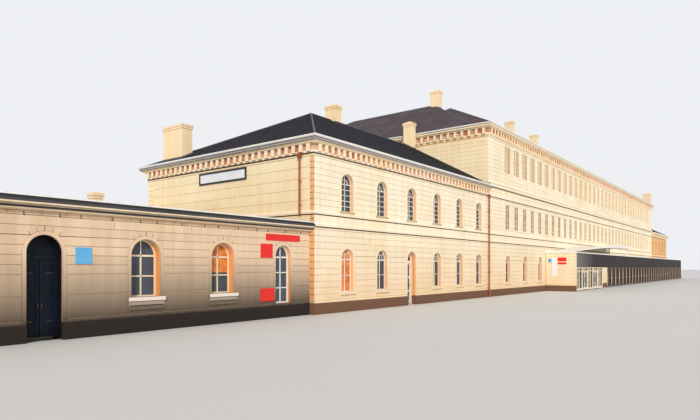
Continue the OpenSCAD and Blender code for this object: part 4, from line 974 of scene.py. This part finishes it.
ground_bars = [((-55, 284), (55, 284), 7), ((0, 107), (0, 284), 4), ((-55, 196), (55, 196), 3),
               ((0, 284), (0, 343), 3), *half_round(288, 28),
               *[(*ray(0, 288, turned, 28, 53), 2.6) for turned in (45, 135)]]
upper_bars = [((-55, 697), (55, 697), 5), *grid_bars(106, 545, 697, 2, 5, 3.4),
              ((0, 697), (0, 750), 3.4), *half_round(697, 28)]
wing_bars = [((-62, 286), (62, 286), 7), *grid_bars(120, 130, 286, 2, 2, 5),
             ((0, 286), (0, 348), 4)]
tall_bars = [((-52, 290), (52, 290), 8), *grid_bars(100, 68, 290, 2, 3, 5),
             ((0, 290), (0, 348), 4)]
first_bars = grid_bars(99, 566, 790, 2, 5, 3.4) + [((-51, 700), (51, 700), 6)]
second_bars = grid_bars(50, 1060, 1293, 2, 5, 2.8)
print("bars to a ground-floor window:", len(ground_bars))

# %% [markdown]
# A row of windows is its joinery and its panes, set at the same places. They are two pieces,
# because paint and glass are two finishes. The panes of a storey stand for the one sheet of glass
# that the CAD model has behind all its openings, so that node is replaced. In the photograph a
# lamp is lit behind the first window, so its pane is amber.

# %% Every window of the tall parts
def set_windows(name, unit, places, paint, pane_glass, seed, *replaced, lit=0):
    """Joinery at each place, and panes at all but the first lit ones."""
    joinery, pane = unit
    fit(scatter(name + "_joinery", joinery, places, paint), "white_joinery")
    panes = scatter(name + "_panes", pane, places[lit:], pane_glass, seed)
    fit(panes, "window_glass", "building", *replaced)


unit = window("ground_arch", arched_outline(2 * HALF_ARCH, 107, LOW_CROWN), ground_bars, 5, 18)
places = [(x, 0, 0, 0.0) for x in plain_axes + main_axes + pavilion_axes]
places += [(x, DEPTH, 0, math.pi) for x in block_axes + main_axes[3:] + pavilion_axes]
places += round_rear_wing(rear_side_axes, rear_end_axes)
set_windows("ground_arch", unit, places, white_paint, glass, 3, "ground_glass", lit=1)
fit(scatter("lamplit_block_pane", unit[1], places[:1], amber_glass), "window_glass")

unit = window("upper_arch", arched_outline(2 * HALF_ARCH, 545, HIGH_CROWN), upper_bars, 4, 18)
set_windows("upper_arch", unit, both_sides(block_axes + pavilion_axes), white_paint, glass, 5,
            "first_floor_glass")

unit = window("first_floor", square_outline(103, 566, 790), first_bars, 8, 2)
places = both_sides(halves(main_axes), 6)
places += round_rear_wing(halves(rear_side_axes), halves(rear_end_axes))
set_windows("first_floor", unit, places, cream_paint, peach_glass, 7)

unit = window("second_floor", square_outline(55, 1060, 1293), second_bars, 5, 2)
places = both_sides(pairs(halves(main_axes)), 12)
places += round_rear_wing(pairs(halves(rear_side_axes)), pairs(halves(rear_end_axes)))
set_windows("second_floor", unit, places, cream_paint, peach_glass, 9, "second_floor_glass")

# %% [markdown]
# The wing's arches are wider, and the photograph shows their glass bluer, with more of the sky in
# it. One of them is lamplit too, but only its upper lights: a thin amber pane stands before them.

# %% The wing's windows
wing_windows = [wing_axes[i] for i in (1, 2, 4, 5)]
joinery, pane = window("wing_arch", arched_outline(125, 130, WING_CROWN), wing_bars)
places = [(x, WING_FRONT, 0, 0.0) for x in wing_windows]
places += [(x, WING_REAR, 0, math.pi) for x in wing_axes]
fit(scatter("wing_joinery", joinery, places, cream_paint), "white_joinery")
lamplight = Shape()
lamplight.plate(inset(arched_outline(125, 218, WING_CROWN), 2), 40, 40.6)
lamplight.move(wing_axes[1], WING_FRONT)
fit(lamplight.build("lamplit_wing_pane", amber_glass), "window_glass")
fit(scatter("wing_panes", pane, places, wing_glass, 11), "window_glass")
joinery, pane = window("tall_arch", arched_outline(104, 68, WING_CROWN), tall_bars, 7, 18)
places = [(wing_axes[0], WING_FRONT, 0, 0.0)]
fit(scatter("tall_window_joinery", joinery, places, white_paint), "white_joinery")
fit(scatter("tall_window_pane", pane, places, wing_glass, 13), "window_glass")

# %% [markdown]
# ## Slates
# A slate roof is thousands of thin tiles in level courses, each course overlapping the one below.
# The field of one slope is a rule: a column and a row for each slate, every second row shifted by
# half a tile, and the ends cut to the hips. That suits Geometry Nodes. The tree finds each slate's
# left and right edge, keeps both inside the hips, and scales the unit to what is left. Slates of
# 400 mm by 240 mm are 40 mm by 24 mm here. All of that is sums, so they are a list, in which each
# line gives the name of what it makes, what is done, and from what.

# %% A tree that slates one slope
SLATE_W, SLATE_H, NARROWEST = 0.040, 0.024, 0.004
slope_tree, given = start_tree("slated slope", {
    "Slate": "Object", "Material": "Material", "Length": "Float", "Depth": "Float",
    "Left Cut": "Float", "Right Cut": "Float", "Tilt": "Vector", "Origin": "Vector"})
SUMS = (("columns", "MULTIPLY_ADD", "Length", 1 / SLATE_W, 1.0), ("columns", "CEIL", "columns"),
        ("rows", "DIVIDE", "Depth", SLATE_H), ("rows", "FLOOR", "rows"),
        ("count", "MULTIPLY", "columns", "rows"),
        ("row", "ADD", "index", 0.5), ("row", "DIVIDE", "row", "columns"),
        ("row", "FLOOR", "row"), ("column", "MULTIPLY", "row", "columns"),
        ("column", "SUBTRACT", "index", "column"),
        ("shift", "MODULO", "row", 2.0), ("shift", "MULTIPLY", "shift", -0.5),
        ("left", "ADD", "column", "shift"), ("left", "MULTIPLY", "left", SLATE_W),
        ("right", "ADD", "left", SLATE_W),
        ("up", "ADD", "row", 0.5), ("up", "MULTIPLY", "up", SLATE_H),
        ("left hip", "MULTIPLY", "up", "Left Cut"), ("left", "MAXIMUM", "left", "left hip"),
        ("right hip", "MULTIPLY", "up", "Right Cut"),
        ("right hip", "SUBTRACT", "Length", "right hip"),
        ("right", "MINIMUM", "right", "right hip"),
        ("width", "SUBTRACT", "right", "left"), ("stretch", "DIVIDE", "width", SLATE_W),
        ("kept", "GREATER_THAN", "width", NARROWEST),
        ("middle", "ADD", "left", "right"), ("middle", "MULTIPLY", "middle", 0.5))
made = {name: given[name] for name in ("Length", "Depth", "Left Cut", "Right Cut")}
made["index"] = add(slope_tree, "GeometryNodeInputIndex").outputs[0]
for name, operation, *parts in SUMS:
    made[name] = add(slope_tree, "ShaderNodeMath", {
        i: made.get(part, part) for i, part in enumerate(parts)}, operation=operation).outputs[0]
place = add(slope_tree, "ShaderNodeCombineXYZ", {"X": made["middle"], "Y": made["up"]})
points = add(slope_tree, "GeometryNodePoints", {"Count": made["count"],
                                                "Position": place.outputs[0]})
size = add(slope_tree, "ShaderNodeCombineXYZ", {"X": made["stretch"], "Y": 1.0, "Z": 1.0})
slate_info = add(slope_tree, "GeometryNodeObjectInfo", {"Object": given["Slate"],
                                                        "As Instance": True})
laid = add(slope_tree, "GeometryNodeInstanceOnPoints", {
    "Points": points.outputs[0], "Selection": made["kept"],
    "Instance": slate_info.outputs["Geometry"], "Scale": size.outputs[0]})
leaning = add(slope_tree, "GeometryNodeTransform", {
    "Geometry": each_its_tone(slope_tree, laid.outputs[0], 4),
    "Rotation": add(slope_tree, "FunctionNodeEulerToRotation", {0: given["Tilt"]}).outputs[0],
    "Translation": given["Origin"]})
end_tree(slope_tree, leaning.outputs[0], given["Material"])
print(len(slope_tree.nodes), "nodes lay a slope")

# %% [markdown]
# A roof is given by the corners of its eaves, their height, the rise to the ridge and the depth
# of each slope on plan, which is 0 where the roof ends against a wall. The slopes of a roof are
# grown one by one, then joined to one piece.

# %% Slates on every slope
tile = Shape()
tile.add([[(x, y, z) for y, z in ((-12, 0.7), (-12, 2.0), (13, 1.0), (13, -0.3))]
          for x in (-19.6, 19.6)])
tile = tile.build("slate_unit", unit=True)
ROOFS = {
    "block": ((-EAVE_OUT, -EAVE_OUT), (MAIN_LEFT, DEPTH + EAVE_OUT), BLOCK_TOP, 425,
              (850, 0, 781, 781)),
    "pavilion": ((MAIN_RIGHT, -EAVE_OUT), (STATION_RIGHT + EAVE_OUT, DEPTH + EAVE_OUT),
                 BLOCK_TOP, 425, (0, 850, 781, 781)),
    "main": ((MAIN_LEFT - EAVE_OUT, -EAVE_OUT), (MAIN_RIGHT + EAVE_OUT, DEPTH + EAVE_OUT),
             MAIN_TOP, 430, (815, 815, 781, 781)),
    "rear_wing": ((MAIN_LEFT - EAVE_OUT, 115), (REAR_RIGHT + EAVE_OUT, REAR_END + EAVE_OUT),
                  MAIN_TOP, 494, (815, 815, 815, 815)),
    "wing": ((WING_LEFT - EAVE_OUT, WING_FRONT - EAVE_OUT), (0, WING_REAR + EAVE_OUT), 470, 44,
             (500, 0, 538, 538))}
SLATED = (("block", slate), ("pavilion", slate), ("main", old_slate), ("rear_wing", old_slate))


def slate_roof(low, high, eave, rise, runs, material):
    """Slates on each slope; runs are the slopes' depths on plan: left, right, front, rear."""
    (x0, y0), (x1, y1) = low, high
    left, right, near_side, far = runs
    slopes = [(x0, y0, x1 - x0, near_side, left, right, 0.0),
              (x1, y0, y1 - y0, right, near_side, far, 1.0),
              (x1, y1, x1 - x0, far, right, left, 2.0),
              (x0, y1, y1 - y0, left, far, near_side, -1.0)]
    made = []
    for x, y, length, run, cut0, cut1, quarter in slopes:
        if not run:
            continue
        slant = math.hypot(run, rise)
        made.append(grow("slope", slope_tree, {
            "Slate": tile, "Material": material, "Length": length * MM, "Depth": slant * MM,
            "Left Cut": cut0 / slant, "Right Cut": cut1 / slant,
            "Tilt": (math.atan2(rise, run), 0.0, quarter * math.pi / 2),
            "Origin": site(x, y, eave)}))
    return made


def joined(name, pieces):
    """Several meshes as one piece."""
    work = bmesh.new()
    for piece in pieces:
        work.from_mesh(piece.data)
    mesh = bpy.data.meshes.new(name)
    work.to_mesh(mesh)
    work.free()
    for material in pieces[0].data.materials:
        mesh.materials.append(material)
    for piece in pieces:
        bpy.data.objects.remove(piece)
    whole = bpy.data.objects.new(name, mesh)
    bpy.context.scene.collection.objects.link(whole)
    return whole


for name, material in SLATED:
    fit(joined(name + "_slates", slate_roof(*ROOFS[name], material)), "slate")

# %% [markdown]
# ## Ridges and hips
# Half-round rolls cover the line where two slopes meet. They follow a path, so Geometry Nodes
# turn edges into curves and draw a round profile along them.

# %% A tree that draws a roll along edges
roll_tree, given = start_tree("roll along edges", {"Radius": "Float", "Sides": "Int",
                                                   "Material": "Material"})
line = add(roll_tree, "GeometryNodeMeshToCurve", {0: given["Geometry"]})
ring_profile = add(roll_tree, "GeometryNodeCurvePrimitiveCircle", {
    "Resolution": given["Sides"], "Radius": given["Radius"]})
roll = add(roll_tree, "GeometryNodeCurveToMesh", {
    "Curve": line.outputs[0], "Profile Curve": ring_profile.outputs[0], "Fill Caps": True})
end_tree(roll_tree, roll.outputs[0], given["Material"])


def rolls(name, paths, radius, material):
    """Round rods along paths of drawing points."""
    points, edges = [], []
    for path in paths:
        start = len(points)
        points += [site(*p) for p in path]
        edges += [(start + i, start + i + 1) for i in range(len(path) - 1)]
    mesh = bpy.data.meshes.new(name)
    mesh.from_pydata(points, edges, [])
    return grow(name, roll_tree, {"Radius": radius * MM, "Sides": 10, "Material": material}, mesh)


def ridge_lines(low, high, eave, rise, runs):
    """The ridge, and a hip from each corner where two slopes meet."""
    (x0, y0), (x1, y1) = low, high
    left, right, near_side, far = runs
    ends = [(x0 + left, y0 + near_side, eave + rise), (x1 - right, y1 - far, eave + rise)]
    lines = [ends]
    for x, run in ((x0, left), (x1, right)):
        for y in (y0, y1):
            if run:
                peak = min(ends, key=lambda p: math.hypot(p[0] - x, p[1] - y))
                lines.append([(x, y, eave + 1), peak])
    return lines


lines = [line for name, material in SLATED for line in ridge_lines(*ROOFS[name])]
fit(rolls("ridge_rolls", lines, 5.5, lead), "slate")

# %% [markdown]
# Lead sheet closes the joint round each chimney: a low collar that follows the slope. The height
# of a hipped roof at a point is that of the lowest of its slopes there, and where two roofs meet
# the higher one counts.

# %% Lead collars round the chimneys
def height(names, x, y):
    """Height of the named roofs over a place."""
    best = 0
    for name in names:
        (x0, y0), (x1, y1), eave, rise, runs = ROOFS[name]
        reaches = zip((x - x0, x1 - x, y - y0, y1 - y), runs)
        best = max(best, eave + rise * min(1, *(reach / run for reach, run in reaches if run)))
    return best


SQUARE = ((-1, -1), (1, -1), (1, 1), (-1, 1))
chimneys = [(80, 1270, 80, 204, ["block"]), (1060, 743, 66, 98, ["block"]),
            (2065, 698, 59.4, 88.2, ["block"]), (2900, 890, 66, 98, ["main", "rear_wing"]),
            (4500, 743, 66, 98, ["main"]), (5370, 743, 66, 98, ["main"]),
            (9655, 66, 106, 128, ["main"]), (-632, 973, 51, 51, ["wing"])]
collars = Shape()
for x, y, w, d, names in chimneys:
    rings = []
    for out, up in ((5, -2), (5, 9), (0.2, 13), (0.2, -2)):
        corners = [(x + sx * (w / 2 + out), y + sy * (d / 2 + out)) for sx, sy in SQUARE]
        rings.append([(*corner, height(names, *corner) + up) for corner in corners])
    collars.add(rings, closed=True)
fit(collars.build("chimney_collars", lead), "slate")

# %% [markdown]
# ## Mouldings and gutters
# A moulding keeps one profile round every corner. `Shape.sweep` takes the profile as points of
# distance out of the wall and height, and a path that gives the corners for each distance, so the
# mitres come out right, also in the inner corner behind the main block.

# %% Paths round the building
def block_path(out):
    return [(MAIN_LEFT, -out), (-out, -out), (-out, DEPTH + out), (MAIN_LEFT, DEPTH + out)]


def pavilion_path(out):
    return [(MAIN_RIGHT, DEPTH + out), (STATION_RIGHT + out, DEPTH + out),
            (STATION_RIGHT + out, -out), (MAIN_RIGHT, -out)]


def main_path(out):
    return [(MAIN_LEFT - out, -out), (MAIN_RIGHT + out, -out), (MAIN_RIGHT + out, DEPTH + out),
            (REAR_RIGHT + out, DEPTH + out), (REAR_RIGHT + out, REAR_END + out),
            (MAIN_LEFT - out, REAR_END + out)]


def wing_path(out):
    return [(0, WING_FRONT - out), (WING_LEFT - out, WING_FRONT - out),
            (WING_LEFT - out, WING_REAR + out), (0, WING_REAR + out)]


def at(profile, top):
    return [(out, top + up) for out, up in profile]


print("the eaves of the main block turn", len(main_path(0)), "corners")

# %% [markdown]
# The gutter is a profile with a rolled lip, and a cove fills the corner under it. A black line of
# painted shade and a grey board show between the block's gutter and its cornice. One function
# makes a piece from any number of profiles that follow paths.

# %% Gutters and the mouldings under them
GUTTER = [(38, -6), (44, -6), (47.5, -4), (49.2, -0.5), (50, 6), (48.5, 6), (47.8, 0),
          (46.3, -2.8), (43.5, -4.6), (39.4, -4.6), (39.4, 4), (38, 4)]
COVE = [(26, -28), (27.5, -24.5), (30.5, -22), (36, -20.6), (36, -20), (26, -20)]
FASCIA_LINE = [(38, -19.6), (38.7, -19.6), (38.7, -5.5), (38, -5.5)]
FASCIA_BOARD = [(38.3, -17.4), (40.5, -16.8), (40.5, -9.2), (38.3, -8.8)]
EAVES = ((block_path, BLOCK_TOP, False), (pavilion_path, BLOCK_TOP, False),
         (main_path, MAIN_TOP, True))


def mouldings(name, material, slot, runs, *replaced):
    """One piece of mouldings; each is a profile, its path, and whether the path is closed."""
    strip = Shape()
    for profile, path, closed in runs:
        strip.sweep(profile, path, closed)
    fit(strip.build(name, material), slot, "building", *replaced)


mouldings("rolled_gutters", white_metal, "white_metal",
          [(at(GUTTER, top), path, closed) for path, top, closed in EAVES], "gutters")
mouldings("cornice_coves", cornice_stucco, "stucco",
          [(at(COVE, top), path, closed) for path, top, closed in EAVES])
# The black line is painted shade above and below the grey board.
for name, material, profile in (("block_fascia_lines", black_paint, FASCIA_LINE),
                                ("block_fascia_board", grey_trim, FASCIA_BOARD)):
    mouldings(name, material, "slate", [(at(profile, BLOCK_TOP), block_path, False)])

# %% [markdown]
# Each string course has a pale edge on top, pale paint with a painted highlight where the sun
# catches it, and below it a brown line that is dirt and painted shade. They run round the whole
# building; the lowest one stops at the wing's roof.

# %% Edges and lines of the string courses
def round_all(out):
    return [(-out, -out), (STATION_RIGHT + out, -out), (STATION_RIGHT + out, DEPTH + out),
            (REAR_RIGHT + out, DEPTH + out), (REAR_RIGHT + out, REAR_END + out),
            (MAIN_LEFT - out, REAR_END + out), (MAIN_LEFT - out, DEPTH + out),
            (-out, DEPTH + out)]


def past_wing(out):
    return [(-out, WING_REAR + 40), *round_all(out)[:0:-1], (-out, -out), (-out, -2)]


def main_front(out):
    return [(MAIN_LEFT, -out), (MAIN_RIGHT, -out)]


def main_rear(out):
    return [(MAIN_RIGHT, DEPTH + out), (REAR_RIGHT + out, DEPTH + out),
            (REAR_RIGHT + out, REAR_END + out), (MAIN_LEFT - out, REAR_END + out),
            (MAIN_LEFT - out, DEPTH + 54)]


STRINGS = ((past_wing, False, 9, 452, 466), (round_all, True, 9, 516, 530),
           (round_all, True, 5, 829, 835), (main_front, False, 21.6, 912, 940),
           (main_rear, False, 21.6, 912, 940))
# Pale paint and a painted highlight on top of each string course.
mouldings("string_edges", trim_stucco, "stucco", [
    ([(0.5, high - 4), (out + 0.8, high - 4), (out + 0.8, high + 0.6), (0.5, high + 1.2)],
     path, closed) for path, closed, out, low, high in STRINGS])
# Painted shade and dirt: a brown line under each string course.
mouldings("string_lines", joint_and_shade_paint, "stucco", [
    ([(0.5, low - 5.5), (2.6, low - 5.5), (2.6, low - 0.2), (0.5, low - 0.2)],
     path, closed) for path, closed, out, low, high in STRINGS])

# %% [markdown]
# The wing's eave is a stack of thin lines: a pale drip edge, a black board over a grey one, the
# black partly paint and partly painted shade, a cream moulding, a black line of painted shade
# lower on the cornice, and a frieze with a small rounded bead below it. Iron hooks hang under it.

# %% The wing's eave
for name, material, slot, profiles in (
        ("wing_drip_edge", white_metal, "slate",
         [[(38, 467), (41, 467), (41, 471.5), (36, 472.5), (36, 470), (38, 470)]]),
        # partly painted shade: the black board on the fascia
        ("wing_black_board", black_paint, "slate",
         [[(38, 459.5), (39.6, 459.5), (39.6, 467), (38, 467)]]),
        # painted shade: a black line along the cornice's lower edge
        ("wing_black_line", black_paint, "slate",
         [[(26, 432.6), (27.8, 432.6), (27.8, 437.8), (26, 437.8)]]),
        ("wing_mouldings", eave_stucco, "stucco",
         [[(37, 443.6), (38.8, 443.6), (38.8, 448.6), (37, 448.6)],
          [(9, 424.6), (21, 426.6), (23, 428), (23, 431.4), (9, 432.4)]])):
    mouldings(name, material, slot, [(profile, wing_path, False) for profile in profiles])

# %% [markdown]
# Hooks hang from the wing's frieze at uneven distances, and a dark line of painted shade runs below
# each sill. The wing's roof is sheet metal, not slate, with a standing seam every 60 mm that stops
# at the hip.

# %% Hooks, lines and seams of the wing
of_boxes("wing_hooks", dark_iron_and_shade, "slate", [
    ((x, WING_FRONT - 4, low), (x + 1.8, WING_FRONT - gap, high))
    for x in [-70 - 98 * i - 14 * (i % 3) for i in range(22)]
    for gap, low, high in ((0, 412, 420), (2, 408, 412))])
# Painted shade: a dark line under each sill's apron.
of_boxes("wing_apron_lines", dark_iron_and_shade, "stucco", [
    ((x - 72, WING_FRONT - 7.8, 96.5), (x + 70, WING_FRONT - 6.9, 100.5)) for x in wing_windows])
seams = Shape()
SEAM_STEP, (hip_run, *_, slope_run) = 60, ROOFS["wing"][4]
for i in range(1, 37):
    x = WING_LEFT - EAVE_OUT + SEAM_STEP * i
    run = min(slope_run, SEAM_STEP * i * slope_run / hip_run) - 6
    for eave_y, inward in ((WING_FRONT - EAVE_OUT, 1), (WING_REAR + EAVE_OUT, -1)):
        foot, head = eave_y + inward, eave_y + inward * run
        seams.add([[(x + dx, y, height(["wing"], x, y) + dz) for dx, dz in
                    ((-1, -0.3), (1, -0.3), (1, 3), (-1, 3))] for y in (foot, head)])
fit(seams.build("wing_roof_seams", fascia_metal), "slate")

# %% [markdown]
# A cast-iron downpipe is held off the wall by brackets and starts in a hopper under the gutter.
# The pipes are in the CAD model. A bracket is a ring round the pipe with a block to the wall.

# %% Downpipes' brackets and hoppers
brackets, hoppers = Shape(), Shape()
for x, y, low, (to_x, to_y) in ((2137, -16.5, 70, (0, 1)), (-16.5, 87, 560, (1, 0))):
    for z in range(low, 800, 125):
        brackets.add([[(*spot, up) for spot in arc(x, y, radius, 0, 360, 20)[:-1]]
                      for radius, up in ((7.6, z), (7.6, z + 8), (5.5, z + 8), (5.5, z))],
                     closed=True)
        brackets.box((x - 2 + 8 * to_x, y - 2 + 8 * to_y, z + 1),
                     (x + 2 + 15 * to_x, y + 2 + 15 * to_y, z + 7))
    hoppers.add([[(x + sx * r, y + sy * r, z) for sx, sy in SQUARE]
                 for r, z in ((6.3, 806), (9.5, 814), (9.5, 832))])
fit(brackets.build("pipe_brackets", iron), "brown_metal")
fit(hoppers.build("pipe_hoppers", iron), "brown_metal")

# %% [markdown]
# ## The annexe's glazing
# Here steel posts hold tall panes, two to a bay, with a glazing bar down the middle of each and
# small lights on top. A unit is one half bay, and the bays with doors have only the top light.

# %% Panes of the annexe
FIRST_BAY, POST, PANE_STEP = 3622, 7, 99.5


def half_bays(numbers):
    """Places of the two units in each of the numbered bays."""
    return [(FIRST_BAY + BAY // 2 * i + POST + side * PANE_STEP, ANNEXE_FRONT, 0, 0.0)
            for i in numbers for side in (0, 1)]


bay_places = half_bays([i for i in range(37) if i not in (1, 3, 5)])
for name, places, lights in (("annexe", bay_places, ((26, 199, True), (205, 233, False))),
                             ("annexe_door_bay", half_bays((1, 3)), ((205, 233, False),))):
    pane, bars = Shape(), Shape()
    for low, high, tall in lights:
        pane.box((0.2, 6, low + 0.2), (96.3, 7.5, high - 0.2))
        bars.box((46.6, 3, low), (49.8, 9, high))
        if tall:
            bars.box((0, 3.5, 112), (96.5, 8.5, 115))
    pane = pane.build(name + "_pane", unit=True)
    bars = bars.build(name + "_bars_unit", unit=True)
    fit(scatter(name + "_panes", pane, places, annexe_glass, 15), "window_glass")
    for tint, paint, some in (("pale", cream_paint, places[::2]),
                              ("brown", bronze_paint, places[1::2])):
        fit(scatter(f"{name}_{tint}_bars", bars, some, paint), "white_metal")

# %% [markdown]
# Each glazed leaf has a pane on both faces of the CAD leaf's recess and an upright handle on two
# stems, on the side away from its hinge. They ride on their leaf, so they swing with it.

# %% Panes and handles on the annexe's doors
for number, bay, side in ((1, 1, -1), (2, 1, 1), (3, 3, -1), (4, 3, 1)):
    leaf = f"annexe_leaf_{number}"
    middle = FIRST_BAY + BAY // 2 * (bay + 0.5)
    x = middle + side * 6
    a, b = sorted((middle + side * 10.5, middle + side * 86))
    of_boxes(leaf + "_panes", annexe_glass, "window_glass", [
        ((a, y0, 31), (b, y1, 187)) for y0, y1 in ((-288.6, -287.9), (-286.1, -285.4))], leaf)
    of_boxes(leaf + "_handle", dark_iron_and_shade, "white_metal", [
        ((x - 1, -295, 82), (x + 1, -293, 132)),
        *[((x - 0.8, -293.2, z), (x + 0.8, -289.8, z + 2)) for z in (86, 126)]], leaf)

# %% [markdown]
# ## Doors
# The block's door has two lights over a dark panel, and a fanlight over a thick transom. The
# panes are thin boxes in the recesses of the CAD leaf, and the panel is a raised field on a flat
# one, as a joiner makes it.

# %% The block's door
of_boxes("block_door_panes", glass, "window_glass", [
    ((DOOR_X - 35, y0, low), (DOOR_X + 35, y1, high))
    for low, high in ((92.4, 171.8), (180.7, 260.1))
    for y0, y1 in ((41.4, 42.1), (43.9, 44.6))], "block_door")
of_boxes("block_door_panel", grey_paint, "grey_paint", [
    ((DOOR_X - 35, 41.2, 22), (DOOR_X + 35, 42.1, 83.4)),
    ((DOOR_X - 28, 40.2, 30), (DOOR_X + 28, 41.3, 76))], "block_door")
of_boxes("block_door_handle", dark_iron_and_shade, "grey_paint", [
    ((DOOR_X + 37.5, 37, 126), (DOOR_X + 39.5, 40.2, 129)),
    ((DOOR_X + 28, 36, 126), (DOOR_X + 39.5, 37.5, 129))], "block_door")
fan_pane, fan_bars = Shape(), Shape()
fan_pane.plate(arched_outline(94, 284, 335), 41.3, 42.1)
fan_rays = [(*ray(0, 288, turned, 16, 46), 2.6) for turned in (45, 90, 135)]
for a, b, width in fan_rays + half_round(288, 16):
    fan_bars.bar(a, b, width, 39, 41.6)
for shape in (fan_pane, fan_bars):
    shape.move(DOOR_X)
fit(fan_pane.build("block_fanlight_pane", glass), "window_glass")
fit(fan_bars.build("block_fanlight_bars", white_paint), "white_joinery")

# %% [markdown]
# The wing's doorway is painted nearly black: raised fields, strap hinges and ring handles only
# show from close by. A lining of the same paint covers the stucco of its jambs: painted shade in
# the doorway.

# %% The wing's doorway
# The navy sheet on the jambs is painted shade.
lining, arch = Shape(), arched_outline(114, 14, WING_CROWN)
lining.ring(inset(arch, 0.2), inset(arch, 1.6), WING_FRONT + 7, WING_FRONT + 40)
lining.move(PORTAL_X)
fit(lining.build("portal_lining", navy_paint), "navy_paint")
for leaf, side in (("portal_leaf_left", -1), ("portal_leaf_right", 1)):
    middle, ring_x = PORTAL_X + side * 23.75, PORTAL_X + side * 6
    a, b = sorted((PORTAL_X + side * 45.5, PORTAL_X + side * 22))
    of_boxes(leaf + "_fields", navy_paint, "navy_paint", [
        ((middle - 10, 73.9, low), (middle + 10, 75.1, high))
        for low, high in ((37.5, 126.8), (155.2, 244.5))], leaf)
    of_boxes(leaf + "_ironwork", black_paint, "navy_paint", [
        *[((a, 72.2, z), (b, 73.1, z + 5)) for z in (60, 220)],
        ((ring_x - 1.2, 70, 118), (ring_x + 1.2, 73.1, 121)),
        ((ring_x - 3, 69, 106), (ring_x + 3, 70.6, 121))], leaf)

# %% [markdown]
# ## Boards and plates
# The photograph shows a framed name board on the end wall, red boards beside the tall window, a
# blue plate by the doorway and panels at the annexe's end. All are left bare here.

# %% Boards and plates
def board_on(name, place, across, heights, material, frame_w=0, thick=4.0):
    """A flat board on a wall, with a black frame if it has one."""
    (u0, u1), (low, high) = across, heights
    outline = [(u0, low), (u1, low), (u1, high), (u0, high)]
    rim, hole = inset(outline, -frame_w), inset(outline, 0.8)
    sheet = (outline, 0.5), (outline, thick - 0.6), (inset(outline, 0.6), thick)
    frame = (rim, 0.5), (rim, thick + 3), (hole, thick + 3), (hole, 0.5)
    for ending, lines, paint in (("", sheet, material), ("_frame", frame, black_paint)):
        if ending and not frame_w:
            break
        shape = Shape()
        shape.add([[place(u, out, z) for u, z in line] for line, out in lines], bool(ending))
        fit(shape.build(name + ending, paint), "white_metal")


wing_front, annexe_end = front(WING_FRONT), left_end(ANNEXE_LEFT)
board_on("name_board", left_end(0), (516, 920), (748, 800), white_enamel, 9, 5)
board_on("blue_plate", wing_front, (-1194, -1137), (253, 310), blue_enamel)
board_on("long_red_board", wing_front, (-307, -75), (368, 400), red_enamel)
board_on("upper_red_board", wing_front, (-341, -264), (286, 352), red_enamel)
board_on("lower_red_board", wing_front, (-341, -258), (83, 143), red_enamel, 0, 9)
board_on("annexe_white_panel", annexe_end, (-120, -67), (150, 340), white_enamel)
board_on("annexe_red_panel", annexe_end, (-210, -124), (300, 340), red_enamel)
board_on("annexe_low_red_panel", annexe_end, (-210, -124), (270, 290), red_enamel)
board_on("annexe_blue_panel", annexe_end, (-62, -30), (290, 330), blue_enamel)

# %% [markdown]
# ## Camera, light and floor
# The camera stands where the photograph was taken, level, with a small vertical shift. One warm,
# soft sun from the left front and an even pale world light the station at a level where a colour
# renders about as it is written. What the camera sees behind it is a plain pale ground.

# %% Camera
view_data = bpy.data.cameras.new("photograph")
view_data.lens, view_data.sensor_width, view_data.sensor_fit = 28.3, 36, "HORIZONTAL"
view_data.shift_y, view_data.clip_start, view_data.clip_end = 0.0817, 0.01, 400
camera = bpy.data.objects.new("photograph", view_data)
camera.location = (-3.184, -2.597, 0.242)
camera.rotation_euler = (math.radians(90), 0, math.radians(-52.383))
bpy.context.scene.collection.objects.link(camera)
bpy.context.scene.camera = camera
print(f"the camera is {camera.location.z * 10:.1f} m above the ground of the real station")

# %% [markdown]
# The sun comes low from the left, over the platform. The world lights the shade at a plain level,
# and rays from the camera, or by way of metal or glass, see a paler colour instead.

# %% Light, world and floor
SUN_TRAVEL = Vector((0.70, 0.61, -0.40))
sun_data = bpy.data.lights.new("low_sun", "SUN")
sun_data.energy, sun_data.angle, sun_data.color = 2.36, math.radians(8), (1.0, 0.95, 0.88)
sun = bpy.data.objects.new("low_sun", sun_data)
sun.rotation_euler = SUN_TRAVEL.to_track_quat("-Z", "Y").to_euler()
bpy.context.scene.collection.objects.link(sun)


def pale_to_rays(tree, seen, lighting):
    """Picks one colour for what is seen, mirrored or looked through, and one for lighting."""
    rays = add(tree, "ShaderNodeLightPath").outputs
    either = rays["Is Camera Ray"]
    for other in ("Is Glossy Ray", "Is Transmission Ray"):
        either = add(tree, "ShaderNodeMath", {0: either, 1: rays[other]},
                     operation="MAXIMUM").outputs[0]
    return layered(tree, lighting, [(seen, [either])])


world = bpy.data.worlds.new("pale_studio")
world.use_nodes = True
bpy.context.scene.world = world
backdrop = world.node_tree.nodes["Background"]
world.node_tree.links.new(pale_to_rays(world.node_tree, colour("#EEF0F3"), (0.6, 0.6, 0.62, 1)),
                          backdrop.inputs["Color"])
floor_shape = Shape()
floor_shape.box((-60000, -60000, -40), (60000, 60000, -1))
floor_paint = finish("pale_studio_floor", "#D9D8D6", "#D5D4D2", 0.4, 0.0, 5, Roughness=0.9)
floor = floor_shape.build("studio_floor", floor_paint)
floor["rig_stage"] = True
rise = math.degrees(math.asin(-SUN_TRAVEL.z / SUN_TRAVEL.length))
print(f"the sun stands {rise:.0f} degrees high")
bpy.context.scene.view_settings.view_transform = "Standard"

# %% [markdown]
# The units that were copied have done their work and go. The size of the dressed model is
# measured, because finishes and trim mustn't change a building's size.

# %% Measure and finish
for unit in [o for o in bpy.data.objects if o.name.endswith(("_unit", "_pane"))
             and "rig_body" not in o]:
    bpy.data.objects.remove(unit)
low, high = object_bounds()
